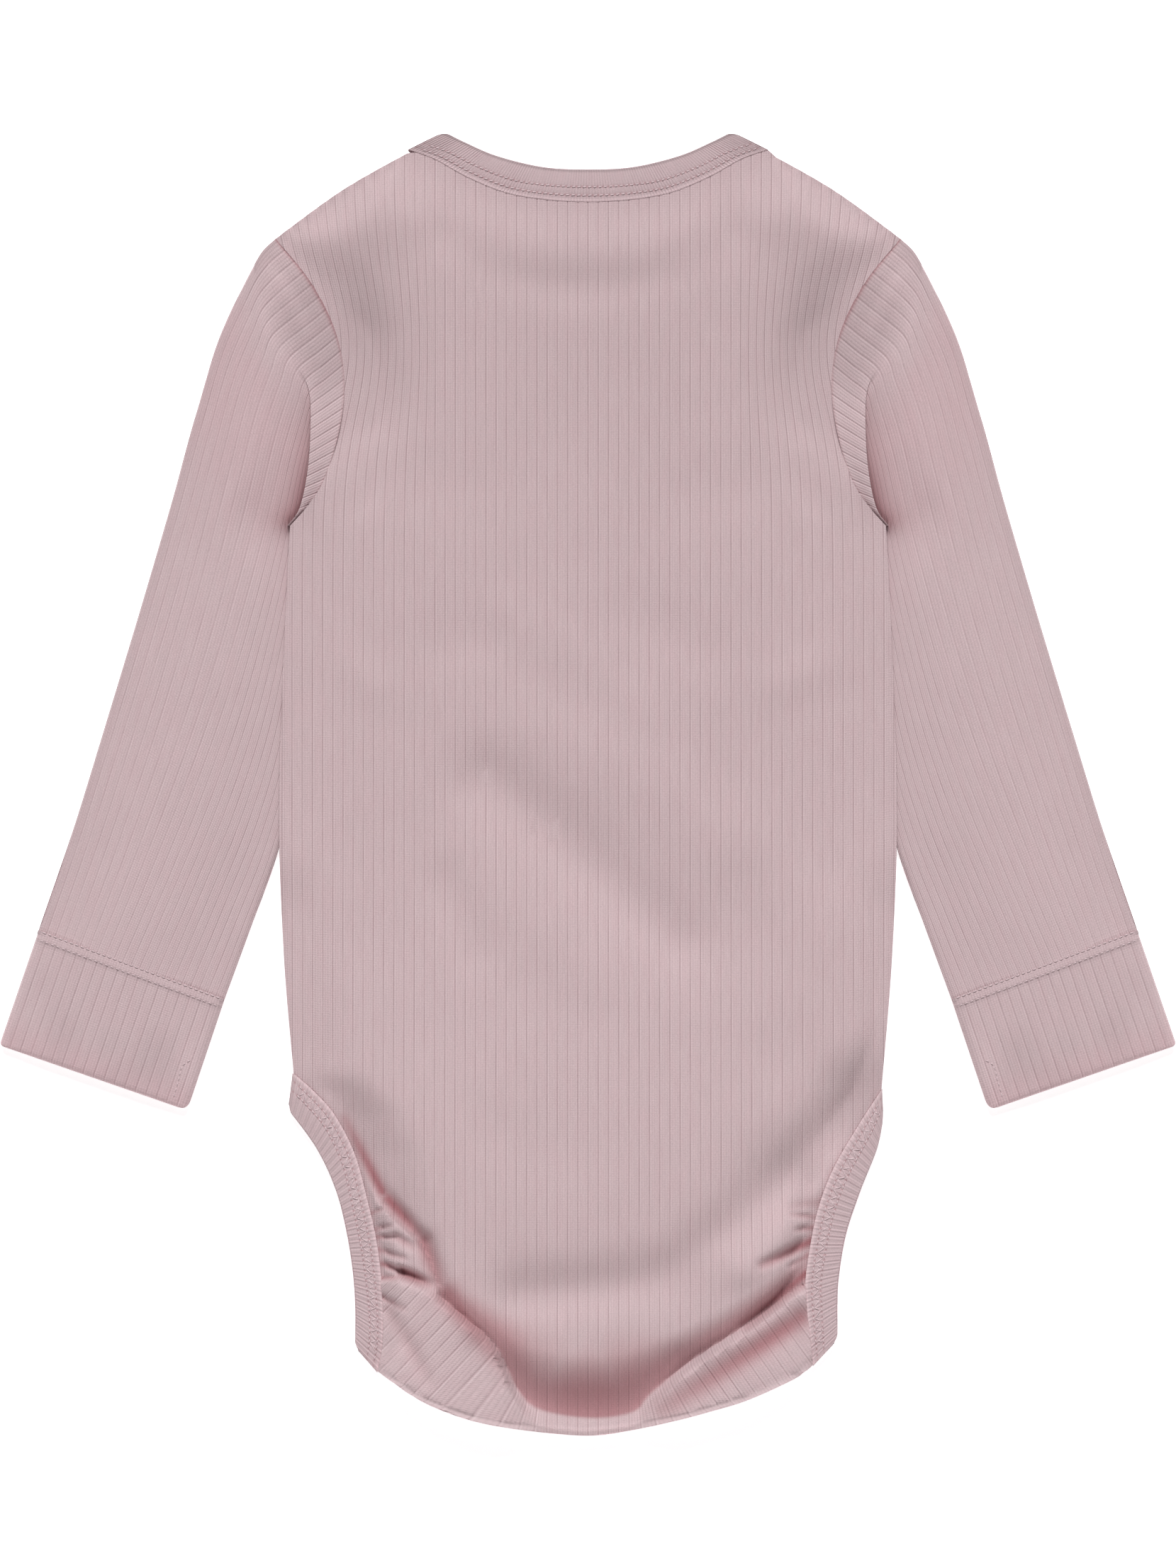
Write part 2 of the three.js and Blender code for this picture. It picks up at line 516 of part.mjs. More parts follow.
// The front, hidden under the back, flat where it rests, with a recess for each press stud
function frontPanel() {
  const neck = inset(traced(bothSides(FRONT_NECK_SEAM), HIDDEN_STEP), 0, -4 * SEAM_GAP);
  const half = [
    ...traced(inset(SHOULDER, FRONT_HIDES, -FRONT_HIDES), HIDDEN_STEP),
    ...inset(traced(ARMHOLE, HIDDEN_STEP), SEAM_GAP, -SEAM_GAP).slice(1),
    ...inset(traced(SLEEVE_INNER, HIDDEN_STEP), 2 * SEAM_GAP, 0)
      .filter(([, y]) => y < UNDERARM_Y - HIDDEN_STEP / 2 && y > SLEEVE_OUT_Y / 2),
    ...inset(traced(LEFT_SIDE, HIDDEN_STEP), FRONT_HIDES, 0).filter(([, y]) => y < SLEEVE_OUT_Y),
  ];
  const outline = [
    ...backwards(neck),
    ...half,
    ...inset(traced(LEFT_LEG_SEAM, HIDDEN_STEP), 2 * SEAM_GAP, 0).slice(1),
    ...inset(traced(BOTTOM, HIDDEN_STEP), 0, FRONT_HIDES).slice(1, -1),
    ...backwards(inset(traced(RIGHT_LEG_SEAM, HIDDEN_STEP), -2 * SEAM_GAP, 0)).slice(0, -1),
    ...backwards(mirror(half)),
  ];
  const recesses = studPlaces().map(([x, y]) => {
    const recess = new THREE.CylinderGeometry(STUD_RADIUS + SEAM_GAP, STUD_RADIUS + SEAM_GAP,
      2 * (STUD_THICKNESS + SEAM_GAP / 2), STUD_SIDES);
    recess.rotateX(Math.PI / 2);
    recess.translate(x, y, 0);
    return toSolid(recess);
  });
  const slab = toSolid(prism(outline, 0, FRONT_WALL));
  return toGeometry(recesses.reduce((rest, recess) => rest.subtract(recess), slab));
}

function studPlaces() {
  return [-1, 0, 1].map((n) => [n * STUD_SPACING, STUD_ROW_Y + STUD_ROW_RISE * Math.abs(n)]);
}

function pressStud([x, y]) {
  const profile = [
    [0, STUD_DIMPLE_DEPTH],
    [STUD_DIMPLE_RADIUS, STUD_DIMPLE_DEPTH],
    [STUD_DIMPLE_RADIUS + STUD_DIMPLE_SLOPE, 0],
    [STUD_RADIUS - STUD_EDGE, 0],
    [STUD_RADIUS, STUD_EDGE],
    [STUD_RADIUS, STUD_THICKNESS],
    [0, STUD_THICKNESS],
  ];
  const geometry = new THREE.LatheGeometry(profile.map(([r, z]) => new THREE.Vector2(r, z)), STUD_SIDES);
  geometry.rotateX(Math.PI / 2);
  geometry.translate(x, y, 0);
  return geometry;
}

// A flattened tube, from lines across it: ribs over the top, plain below and inside, and rounded where the cloth
// folds at its two edges. Each line places a share s of its width, from 0 at one edge to 1 at the other.
function flatTube(lines, ribs, heightOf, wall) {
  const outer = lines.map(({ place, width }) => {
    const top = between(0, 1, 2 * ribs).map((s, n) => {
      const atEdge = n === 0 || n === 2 * ribs;
      const groove = n % 2 === 0 ? RIB_DEPTH : 0;
      return [...place(s), atEdge ? EDGE_LEVEL : heightOf(place(s)) - groove];
    });
    const tuck = EDGE_LEVEL / width;
    return [...top, ...between(1 - tuck, tuck, FLOOR_STEPS).map((s) => [...place(s), 0])];
  });
  const inner = lines.map(({ place, width }) => {
    const margin = INNER_INSET / width;
    const roof = between(margin, 1 - margin, ROOF_STEPS).map((s) => {
      const under = heightOf(place(s)) - RIB_DEPTH - wall;
      return [...place(s), Math.max(wall + LAYER_GAP, under)];
    });
    const floor = between(1 - FLOOR_MARGIN * margin, FLOOR_MARGIN * margin, FLOOR_STEPS);
    return [...roof, ...floor.map((s) => [...place(s), wall])];
  });
  return tube(outer, inner);
}

// The point a share t along a run of evenly spaced points.
function pointAt(line, t) {
  const v = t * (line.length - 1);
  const i = Math.min(line.length - 2, Math.floor(v));
  return mix(line[i], line[i + 1], v - i);
}

// A sleeve's cloth runs from the armhole seam over the fold beside it, then down between its two edges to the cuff.
function sleeve() {
  const armhole = inset(along(ARMHOLE, SLEEVE_SAMPLES), -ARMHOLE_GAP, 0);
  const crest = along(SLEEVE_CREST, SLEEVE_SAMPLES);
  const outerLine = along(SLEEVE_OUTER, SLEEVE_SAMPLES);
  const innerLine = along(SLEEVE_INNER, SLEEVE_SAMPLES);
  const [cuffOuter, cuffInner] = [pointAt(outerLine, 1), pointAt(innerLine, 1)];
  const bodyPlace = (t, s) => {
    const straight = mix(pointAt(crest, s), mix(cuffOuter, cuffInner, s), t);
    const outerShift = pointAt(outerLine, lerp(CREST_SHARE, 1, t))
      .map((v, k) => v - lerp(crest[0][k], cuffOuter[k], t));
    const innerShift = pointAt(innerLine, t).map((v, k) => v - lerp(pointAt(crest, 1)[k], cuffInner[k], t));
    return straight.map((v, k) => v + lerp(outerShift[k], innerShift[k], s));
  };
  const line = (place) => ({ place, width: lengthOf([place(0), place(1)]) });
  const lines = [
    line((s) => pointAt(armhole, s)),
    line((s) => mix(pointAt(armhole, s), bodyPlace(0, s), 0.5)),
    ...SLEEVE_ROWS.map((t) => line((s) => bodyPlace(t, s))),
  ];
  const height = ([x, y]) => {
    const inside = Math.min(distanceTo(outerLine, x, y), distanceTo(innerLine, x, y));
    const crown = SLEEVE_CROWN * smooth(0, SLEEVE_CROWN_REACH, inside);
    const valley = SLEEVE_VALLEY * smooth(VALLEY_REACH, VALLEY_REACH / 2, heightAt(upperAt, y) - x)
      * smooth(UNDERARM_Y, UNDERARM_Y + VALLEY_FADE, y);
    return SLEEVE_EDGE_HEIGHT + Math.max(0, crown - valley);
  };
  return flatTube(lines, SLEEVE_RIBS, height, SLEEVE_WALL);
}

function cuff() {
  const [cornerOuter, roundOuter, roundInner, cornerInner] = CUFF_END;
  const corners = [cornerOuter, cornerInner];
  const rows = CUFF_ROWS.map((t) => CUFF_TOP.map((p, i) => mix(p, corners[i], t)));
  const lines = [...rows, [roundOuter, roundInner]].map(([a, b]) => ({
    place: (s) => mix(a, b, s),
    width: lengthOf([a, b]),
  }));
  const sides = CUFF_TOP.map((p, i) => [p, corners[i]]);
  const height = ([x, y]) => {
    const inside = Math.min(...sides.map((side) => distanceTo(side, x, y)));
    return CUFF_EDGE_HEIGHT + CUFF_CROWN * smooth(0, CUFF_CROWN_REACH, inside);
  };
  return flatTube(lines, CUFF_RIBS, height, CUFF_WALL);
}

// A binding: a doubled strip round an opening, flattened, so that its back strip lies on its front strip.
// Each section runs from the seam to the edge inside, then back outside, and turns over at the two folds.
function flatLoop({ backSeam, backEdge, frontSeam, frontEdge, ribs, frontSteps, lift }) {
  const steps = 2 * ribs;
  const edges = along(backEdge, steps);
  const back = along(backSeam, steps).map(([x, y], i) => {
    const edge = edges[i];
    const seam = mix([x, y], edge, SEAM_GAP / Math.hypot(edge[0] - x, edge[1] - y));
    const level = LAYER_TOP + lift(y) * clamp(Math.min(i, steps - i) / FOLD_SECTIONS);
    const wall = BINDING_WALL - (i % 2 ? 0 : BINDING_RIB_DEPTH);
    const crown = (level + LAYER_TOP) / 2 + wall + BINDING_CROWN;
    return [
      [...seam, level],
      [...edge, LAYER_TOP + BINDING_ROUND],
      [...mix(seam, edge, BINDING_EDGE_SHARE), LAYER_TOP + wall],
      [...mix(seam, edge, BINDING_CROWN_SHARE), crown],
      [...seam, level + wall],
    ];
  });
  const rims = along(frontEdge, frontSteps);
  const front = along(frontSeam, frontSteps).map((seam, i) => {
    const edge = rims[i];
    return [[...seam, FRONT_WALL], [...edge, FRONT_WALL / 2], [...mix(seam, edge, BINDING_EDGE_SHARE), 0],
      [...mix(seam, edge, BINDING_CROWN_SHARE), 0], [...seam, 0]];
  });
  return loop([...back, ...backwards(front)]);
}

function neckBinding() {
  return flatLoop({
    backSeam: bothSides(NECK_SEAM),
    backEdge: bothSides(NECK_EDGE),
    frontSeam: bothSides(FRONT_NECK_SEAM),
    frontEdge: bothSides(FRONT_NECK_EDGE),
    ribs: NECK_FACETS,
    frontSteps: NECK_FRONT_STEPS,
    lift: () => 0,
  });
}

function legBinding(seam, edge) {
  const inward = -Math.sign(seam[0][0]);
  return flatLoop({
    backSeam: seam,
    backEdge: edge,
    frontSeam: seam,
    frontEdge: inset(edge, inward * FRONT_HIDES, 0),
    ribs: Math.round(lengthOf(traced(seam)) / BINDING_RIB_PITCH),
    frontSteps: LEG_FRONT_STEPS,
    lift: (y) => LEG_LIFT * smooth(LEG_LIFT_START_Y, LEG_LIFT_FULL_Y, y)
      * smooth(LEG_LIFT_END_Y, LEG_LIFT_FADE_Y, y),
  });
}

function mirroredGeometry(geometry) {
  const position = geometry.getAttribute('position');
  const points = Array.from({ length: position.count }, (_, i) => [-position.getX(i), position.getY(i),
    position.getZ(i)]);
  const index = Array.from(geometry.getIndex().array);
  const faces = Array.from({ length: index.length / 3 }, (_, i) => index.slice(3 * i, 3 * i + 3).reverse());
  return geometryFrom(points, faces);
}

// The whole garment
const onesie = new THREE.Group();
const cloth = { color: ROSE, roughness: 0.92, metalness: 0 };

function addPiece(name, geometry, material = cloth) {
  const mesh = new THREE.Mesh(geometry, new THREE.MeshStandardMaterial(material));
  mesh.name = name;
  onesie.add(mesh);
}

const leftSleeve = sleeve();
const leftCuff = cuff();
addPiece('back_panel', backPanel());
addPiece('front_panel', frontPanel());
addPiece('sleeve_left', leftSleeve);
addPiece('sleeve_right', mirroredGeometry(leftSleeve));
addPiece('cuff_left', leftCuff);
addPiece('cuff_right', mirroredGeometry(leftCuff));
addPiece('neck_binding', neckBinding());
addPiece('leg_binding_left', legBinding(LEFT_LEG_SEAM, LEFT_LEG_EDGE));
addPiece('leg_binding_right', legBinding(RIGHT_LEG_SEAM, RIGHT_LEG_EDGE));
studPlaces().forEach((place, n) => {
  addPiece(`press_stud_${n + 1}`, pressStud(place), { color: STUD_COLOUR, roughness: 0.35, metalness: 0.6 });
});

export default onesie;
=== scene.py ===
"""A long-sleeved baby bodysuit in drop-needle rib jersey, laid flat with its back up.

Sizes and places are in millimetres, and +Y points towards the neck. The meshes are in metres, in the frame
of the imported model. Left and right are those of the picture. A point of cloth is known by its place across
the ribs and along them, and both are kept as the "cloth" UV map, in millimetres.
"""
import math

import bpy
import numpy as np
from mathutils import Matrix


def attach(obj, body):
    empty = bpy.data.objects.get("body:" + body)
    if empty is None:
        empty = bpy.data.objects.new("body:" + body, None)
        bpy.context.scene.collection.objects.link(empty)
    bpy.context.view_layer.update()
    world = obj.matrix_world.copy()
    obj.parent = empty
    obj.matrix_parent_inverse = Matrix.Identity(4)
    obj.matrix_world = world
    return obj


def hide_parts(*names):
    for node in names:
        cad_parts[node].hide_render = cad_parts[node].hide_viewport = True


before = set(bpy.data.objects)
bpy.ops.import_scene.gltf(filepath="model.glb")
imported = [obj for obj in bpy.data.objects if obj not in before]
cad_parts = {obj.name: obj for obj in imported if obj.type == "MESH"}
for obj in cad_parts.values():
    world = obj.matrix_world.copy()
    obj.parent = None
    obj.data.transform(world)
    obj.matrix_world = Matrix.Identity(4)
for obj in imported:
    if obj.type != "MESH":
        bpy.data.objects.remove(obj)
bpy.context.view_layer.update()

join = np.concatenate

MM = 0.001
WOBBLE_WAVES = 7

# Sizes shared with the solids
RIB_PITCH = 3.52
BACK_WALL = 1.3
FRONT_WALL = 1.2
SLEEVE_WALL = 1.1
CUFF_WALL = 1.4
BINDING_WALL = 1.7
SEAM_GAP = 0.3
ARMHOLE_LAP = 0.1
SEAM_DIP = 0.15
# Painted rose shade along the armhole seam, on the sleeve's cloth
SEAM_SHADE = 0.75
LOW_SEAM_SHADE = 0.4
SEAM_SHADE_Y = (140, 165)
LAYER_GAP = 0.3
LAYER_TOP = FRONT_WALL + LAYER_GAP
UNDERARM_Y = 88.6
TOP_REACH = 228
BOTTOM_REACH = -228
PRISM_FLOOR = -5
PRISM_TOP = 40

# Outlines, each a smooth curve through (x, y). Curves that both sides share are given for the left.
NECK_SEAM = [(-61.9, 218.6), (-52.9, 215.4), (-41.6, 209.2), (-28.5, 203.9), (-15, 201.5), (0, 200.7)]
NECK_EDGE = [(-49.6, 224.7), (-42.6, 221.2), (-31.3, 216.4), (-15.4, 212.6), (0, 211.8)]
FRONT_NECK_SEAM = [(-61, 217.2), (-57, 204), (-45, 187), (-25, 175), (0, 171)]
FRONT_NECK_EDGE = [(-49.2, 223.2), (-46, 211), (-36, 196), (-20, 186), (0, 182.4)]
SHOULDER = [(-62.6, 217.2), (-84.9, 204.5), (-107.9, 187.8)]
ARMHOLE = [(-107.9, 187.8), (-95.7, 172.8), (-87.1, 155.3), (-84.2, 138.5), (-85.9, 121.6), (-91, 104.7),
           (-96.6, 95.6), (-102.8, 88.6)]
LEFT_SIDE = [(-102.8, 88.6), (-105.3, 37), (-106.6, -13), (-105, -60), (-101.6, -100.6)]
RIGHT_SIDE = [(102.8, 88.6), (105.3, 37), (106.6, -13), (105, -60), (101.3, -106.1)]
LEFT_LEG_SEAM = [(-101.6, -100.6), (-95.4, -106), (-87.8, -114.4), (-80.9, -127.5), (-76.6, -142.6),
                 (-72.9, -159.4), (-70.9, -178.2), (-70.8, -193.2), (-72.7, -203)]
LEFT_LEG_EDGE = [(-103.5, -112.8), (-93.7, -126.3), (-86.9, -141), (-83.2, -155.7), (-81, -170.4),
                 (-80.3, -183), (-80.5, -194.5)]
RIGHT_LEG_SEAM = [(101.3, -106.1), (93.5, -118.2), (85, -132.9), (79.7, -146.6), (76.7, -160.6),
                  (75.1, -173.8), (75.9, -185.8), (77.7, -200.8)]
RIGHT_LEG_EDGE = [(102, -115.7), (99.8, -126.3), (94, -141), (89.1, -155.7), (86.6, -170.4),
                  (86.1, -180), (86.2, -192)]
BOTTOM = [(-72.7, -203), (-58.5, -212.6), (-43.2, -218.9), (-26.6, -222.5), (-1.2, -225), (15.1, -223.1),
          (33.9, -218.9), (54.8, -212.8), (71.7, -205.2), (77.7, -200.8)]
SLEEVE_OUTER = [(-107.9, 187.8), (-113.1, 182.4), (-120.9, 167.7), (-130, 145.7), (-148.8, 79.5),
                (-175.5, -8.7), (-185.9, -40.6), (-190.1, -52)]
SLEEVE_INNER = [(-103.6, 88.8), (-98.6, 60), (-98.6, 30), (-101.4, 0), (-106.9, -23.4), (-120.2, -60.1),
                (-125.9, -75.8)]
SLEEVE_CREST = [(-110.5, 184.6), (-108.6, 172), (-104.8, 158), (-97.5, 147), (-93.6, 138), (-94, 121),
                (-95.9, 107), (-99.2, 95), (-103.6, 88.8)]
CUFF_TOP = [(-190.2, -52.4), (-126, -76.2)]
CUFF_END = [(-202.7, -88.9), (-201.4, -91.2), (-141.6, -112), (-137.2, -109.6)]

# Rows of the back's cloth over the gathered seat: left seam, middle, right seam
SEAT_ROWS = [
    (-107, -107, -107),
    (-118, -118, -118),
    (-128, -129, -128),
    (-136, -139, -136),
    (-142.5, -148, -143.5),
    (-146.4, -156, -148.4),
    (-148.8, -163, -150.4),
    (-151.6, -170, -151.9),
    (-154.3, -176, -154.2),
    (-156.9, -182, -156.6),
    (-159, -188, -159.4),
    (-161, -193, -162.2),
    (-163.5, -197.5, -165),
    (-166, -201.5, -167.2),
    (-168.6, -205.5, -169.2),
    (-171, -210, -171.4),
    (-174.2, -214, -175),
    (-177.3, -217.2, -179),
    (-181.5, -219.8, -184),
    (-187.5, -221.8, -189.5),
    (-194.5, -223.4, -196),
    (-203, -225.4, -204),
    (-214, -226.8, -214),
]
SEAM_REACH = 66
MIDDLE_REACH = 16

# Creases and valleys of the back: from, to, depth, width, and how much painted shade the cloth gets down
# there
CREASES = [
    ((-71, -141), (-84, -116), 2.4, 2.2, 1),
    ((-69, -143.5), (-56.5, -157.5), 3, 2.4, 1),
    ((-56.5, -158), (-49.5, -176), 2.4, 3.4, 0.75),
    ((-48, -176), (-26, -202), 0.4, 5, 0.8),
    ((-75.3, -148.8), (-69.9, -146.4), 1.4, 0.9, 0.5),
    ((-73.8, -154.2), (-68, -152.4), 1.6, 1, 0.5),
    ((-73.1, -156.9), (-66, -156.2), 1.8, 1, 0.6),
    ((-66, -156.2), (-58.2, -160.6), 1.4, 1.7, 0.4),
    ((-72.1, -161.1), (-63, -163.6), 1.6, 1.2, 0.5),
    ((-71, -166), (-63.5, -168.3), 2.4, 1.2, 0.8),
    ((-64, -168.6), (-54, -172.5), 3.6, 2, 0.95),
    ((-71.4, -170.9), (-63.5, -170), 1.5, 0.9, 0.6),
    ((-70.8, -177.3), (-63.5, -180.6), 1.6, 1.2, 0.5),
    ((80, -144.7), (70, -146), 0.9, 1.8, 0.3),
    ((78.2, -149.9), (70, -148.6), 1.2, 1.2, 0.4),
    ((78.2, -153.5), (72, -154), 1.5, 1.2, 0.6),
    ((77.4, -158.1), (60, -165.5), 3, 2, 1),
    ((76.2, -163), (69.5, -166.8), 1.5, 1.2, 0.6),
    ((75, -169.5), (54, -187), 4.2, 2.2, 1),
    ((75.4, -172.4), (68, -177.6), 1.6, 1.2, 0.5),
    ((-68.1, -182), (-55, -205), 1.6, 3, 0.2),
    ((73, -184), (26, -215), 1.8, 4.4, 0.85),
]
CREASE_TAPER = 0.6
CREASE_FADE = 3

# Soft ridges and valleys of the back: rise, width, and the line that they follow
SOFT_FOLDS = [
    (-1.2, 8, [(-50, 188), (-28, 177), (0, 172), (28, 177), (50, 188)]),
    (0.7, 9, [(-94, 184), (-80, 189), (-66, 194)]),
    (0.7, 9, [(94, 184), (80, 189), (66, 194)]),
    (-1.5, 13, [(-78, 150), (-73, 130)]),
    (-1.5, 13, [(78, 150), (73, 130)]),
    (-0.6, 12, [(-60, 104), (-42, 101)]),
    (-0.6, 12, [(56, 104), (38, 101)]),
    (0.7, 7, [(-98, 62), (-88, 45), (-74, 34)]),
    (0.7, 7, [(98, 58), (88, 43), (66, 34)]),
    (-0.6, 10, [(-50, 48), (-34, 50)]),
    (0.6, 9, [(-26, 58), (0, 40), (18, 26)]),
    (-0.6, 9, [(14, 58), (40, 46)]),
    (-2.8, 12, [(-34, 0), (-10, -20), (14, -41), (30, -55)]),
    (1.3, 16, [(-16, 16), (14, 4), (44, -18)]),
    (0.9, 12, [(-44, -24), (-26, -44), (0, -66)]),
    (-0.9, 8, [(-50, -34), (-40, -58)]),
    (0.9, 14, [(58, -24), (80, -48)]),
    (-0.8, 12, [(64, -96), (88, -84)]),
    (-0.6, 12, [(-30, -122), (-8, -128)]),
]

# The valley and folds above the trough: rise, width, and the line that they follow
SEAT_FOLDS = [
    (-3.7, 10, [(104, -101), (84, -121), (63, -141), (41, -160), (20, -172), (-22, -177)]),
    (-2, 15, [(106, -104), (72, -134)]),
    (2, 7, [(92, -131), (72, -151), (54, -167)]),
]
EDGE_ROLL = 0.75
SHOULDER_ROLL = 0.9
EDGE_ROLL_REACH = 2.6
PUFF = 3
PUFF_REACH = 26
SOFT_REACH = 12
LEAST_PUFF = 0.15

# Painted soft shade on the back, and a painted highlight where the amount is below 0: x, y, reach across,
# reach along, how much darker
SOFT_SHADES = [
    (-77, 167, 12, 24, 0.15),
    (77, 167, 12, 24, 0.15),
    (0, 178, 38, 9, 0.06),
    (0, 150, 70, 34, 0.03),
    (-98, -48, 14, 50, -0.03),
    (98, -48, 14, 50, -0.03),
    (92, -100, 13, 10, 0.2),
    (66, -128, 15, 10, 0.06),
    (86, -129, 10, 9, -0.18),
    (-91, -107, 8, 8, -0.1),
    (-40, -184, 7, 8, -0.04),
    (34, -195, 10, 4, 0.14),
    (-40, -191, 5, 4, 0.1),
    (38, -170, 14, 9, 0.1),
    (6, -187, 26, 7, 0.05),
    (-97, 96, 4, 7, 0.08),
    (97, 96, 4, 7, 0.08),
]
SLEEVE_LIFT = 1.9
SLEEVE_MARGIN = 11
LIFT_REACH = 30
LIFT_FADE = 22
SLEEVE_OUT_Y = -24
LIFT_TOP_Y = UNDERARM_Y + 14

# The turned-up lips at the crotch, the trough behind them, and the fold at the left leg
LIP_EDGE = [(-75, -171.5), (-63.3, -169.9), (-54.8, -174.6), (-43.6, -183.5), (-33.1, -192.7), (-28.8, -201),
            (-24.5, -210), (-17, -216.6), (1, -219.6), (16, -217.4), (22.2, -211), (35.8, -199.7),
            (52.7, -188.5), (64.6, -179.8), (80, -168.5)]
TROUGH_EDGE = [(-80, -168), (-50.9, -179), (-29, -199), (-14, -205), (5.8, -206.5), (19, -203.5),
               (38, -194), (60, -182), (80, -168)]
FOLD_EDGE = [(-90, -100), (-84, -116.7), (-78.5, -130.6), (-70.2, -146), (-58.8, -157.4), (-52.6, -168.7),
             (-50.9, -179)]
LIP_RISE = 9.6
MIDDLE_LIP_RISE = 2
SEAT_RISE = 6
FOLD_RISE = 6
FOLD_START_Y = -104
FOLD_FULL_Y = -150
LIP_START_X = 12
LIP_FULL_X = 34
LIP_ROLL = 3
LIP_AT_SEAM = 0.35
LAP_SLOPE = 1
MIDDLE_LAP_SLOPE = 3.6
LAP_REACH = 8
SEAT_START_Y = -10
SEAT_FULL_Y = -150
SEAT_REACH = 13
SEAT_REACH_LEFT = 27
TROUGH_SLOPE = 10
# Painted rose shade in the trough above the lips, full in its middle and less towards its ends
TROUGH_SHADE = 0.8
SIDE_TROUGH_SHADE = 0.65
TROUGH_REACH = 30
SIDE_TROUGH_REACH = 10
TROUGH_MIDDLE_X = 2
TROUGH_HALF_WIDTH = 22
TROUGH_LEFT = (-56, -44)
TROUGH_RIGHT = (82, 70)
# A painted highlight on the lips' lower rims
RIM_GLOW = 0.38
RIM_GLOW_Y = (-190, -205)
LIP_LEAN_LEFT = -0.95
LIP_LEAN_RIGHT = 0.7

# Ribs of the back: where the columns of points lie in one rib, and how the ribs bow in beside the armholes
RIB_PLACES = (0, 0.2, 0.6, 1.76, 2.92, 3.32)
RIB_DEPTH = 0.16
GROOVE_HALF = 0.17
RIB_CROWN = 0.02
HALF_RIBS = 31
BOW = 0.23
BOW_START_X = 52
BOW_Y = 150
BOW_REACH = 32
BODY_ROW_STEP = 3
CROTCH_START_Y = -176
CROTCH_TURN = 14
SEAT_ROW_SPLIT = 5

# Sleeves and cuffs
SLEEVE_RIBS = 22
SLEEVE_RIB_SHOW = 0.65
SLEEVE_ROWS = (0, 0.04, 0.1, 0.22, 0.36, 0.52, 0.68, 0.84, 1)
SLEEVE_SAMPLES = 88
CREST_SHARE = 0.045
FLOOR_TURNS = ((0.35, 0.35), (1.2, 0), (12, 0))
SLEEVE_EDGE_HEIGHT = 2.7
SLEEVE_CROWN = 1.8
SLEEVE_CROWN_REACH = 30
SLEEVE_VALLEY = 1.3
VALLEY_REACH = 12
VALLEY_FADE = 40
VALLEY_FOOT = (120, 150)
VALLEY_TOP = (184, 166)
# Painted shade in the valley beside the armhole and along the sleeve's rounded outer edge
VALLEY_DIM = 0.17
OUTER_DIM = 0.1
CREST_LAG = 0.045
FOLD_FROM = 0.42
FOLD_FULL = 0.6
FOLD_SINK = 0.7
FOLD_TOP_Y = 146
FOLD_FULL_DROP_Y = 116
FOLD_STEP = 0.3
# Painted shade beside the fold, deepest towards the underarm
HIGH_FOLD_SHADE = 0.75
FOLD_SHADE_REACH = 4.2
FOLD_FOOT = (82, 93)
FOLD_DIM = 0.5
# A painted highlight along the crest beside the armhole
CREST_GLOW = 0.12
CREST_GLOW_FOOT = (130, 142)
CREST_GLOW_TOP = (178, 166)
SLEEVE_PINK = 0.7
SLEEVE_WOBBLE = 0.12
BAND_RISE = 1.3
BAND_ROWS = 16
DROP_REACH = 24
NEAR_ROW_STEP = 1.2
NEAR_REACH = 14
SLEEVE_ROW_STEP = 3
EDGE_LEVEL = 1.2
EDGE_ROUND = 2.4
CUFF_RIBS = 18
CUFF_EDGE_HEIGHT = 3.5
CUFF_CROWN = 0.9
CUFF_CROWN_REACH = 16
CUFF_CORNERS = [(-203.3, -90.6), (-138.4, -113.1)]
CUFF_SEAM_LAP = 1.6
CUFF_SEAM_BAND = 2.5
CUFF_SEAM_RISE = 0.12
CUFF_END_LEVEL = 2.2
CUFF_WOBBLE = 0.15
# Painted shade along the stitch rows of the seam band, and painted highlights on the band and at the folded
# end
CUFF_RIM_DIM = 0.14
CUFF_BAND_GLOW = 0.02
CUFF_END_GLOW = 0.25
CUFF_END_PINK = 0.8
CUFF_SIDE_STITCHES = [(-136.9, -95.6), (-139.9, -97.4), (-141.4, -103), (-143, -108.6)]

# Painted soft shade on a cuff, and a painted highlight where the amount is below 0: x, y, reach across,
# reach along, how much darker
CUFF_SHADES = [
    (-181, -86, 6, 9, 0.07),
    (-166, -90, 5, 6, 0.06),
    (-137, -96, 5, 12, -0.06),
    (-150, -92, 9, 8, 0.08),
    (-158, -100, 12, 5, 0.06),
    (-186, -70, 8, 5, 0.04),
]

# Bindings
BINDING_STEP = 0.34
BINDING_CROWN = 0.35
BINDING_ROUND = 0.9
NECK_RIB_PITCH = 1.02
LEG_RIB_PITCH = 3.2
LEG_TIGHT_PITCH = 1.7
BINDING_RIB_DEPTH = 0.2
WALE_SWAY = ((0.12, 3.1, 0), (0.1, 5.3, 1))
# Painted shade in the bindings' rib troughs, a painted highlight on the lip by the seam, and darker towards
# the neck binding's top edge and its ends
WAVE_DIM = 0.07
LIP_GLOW = 0.2
NECK_EDGE_DIM = 0.3
CORNER_DIM = 0.4
CORNER_REACH = 16
CHANNEL_DEPTH = 0.14
CHANNEL_HALF = 0.5
NECK_STITCH_ROWS = (2, 4.9)
LEG_STITCH_ROWS = (2.2, 5.4)
BINDING_CORNER = 2.6
FOLD_SECTIONS = 18
FRONT_HIDES = 0.8
FRONT_HEEL = ((0.9, 0.02), (0.8, 0.05), (0.6, 0.12), (0.3, 0.3), (0.3, 0.8))
FOLD_BULGE = 0.6
LEG_LIFT = 0.9

# Thread and press studs
STITCH_PITCH = 2
STITCH_LENGTH = 1.45
THREAD_RADIUS = 0.2
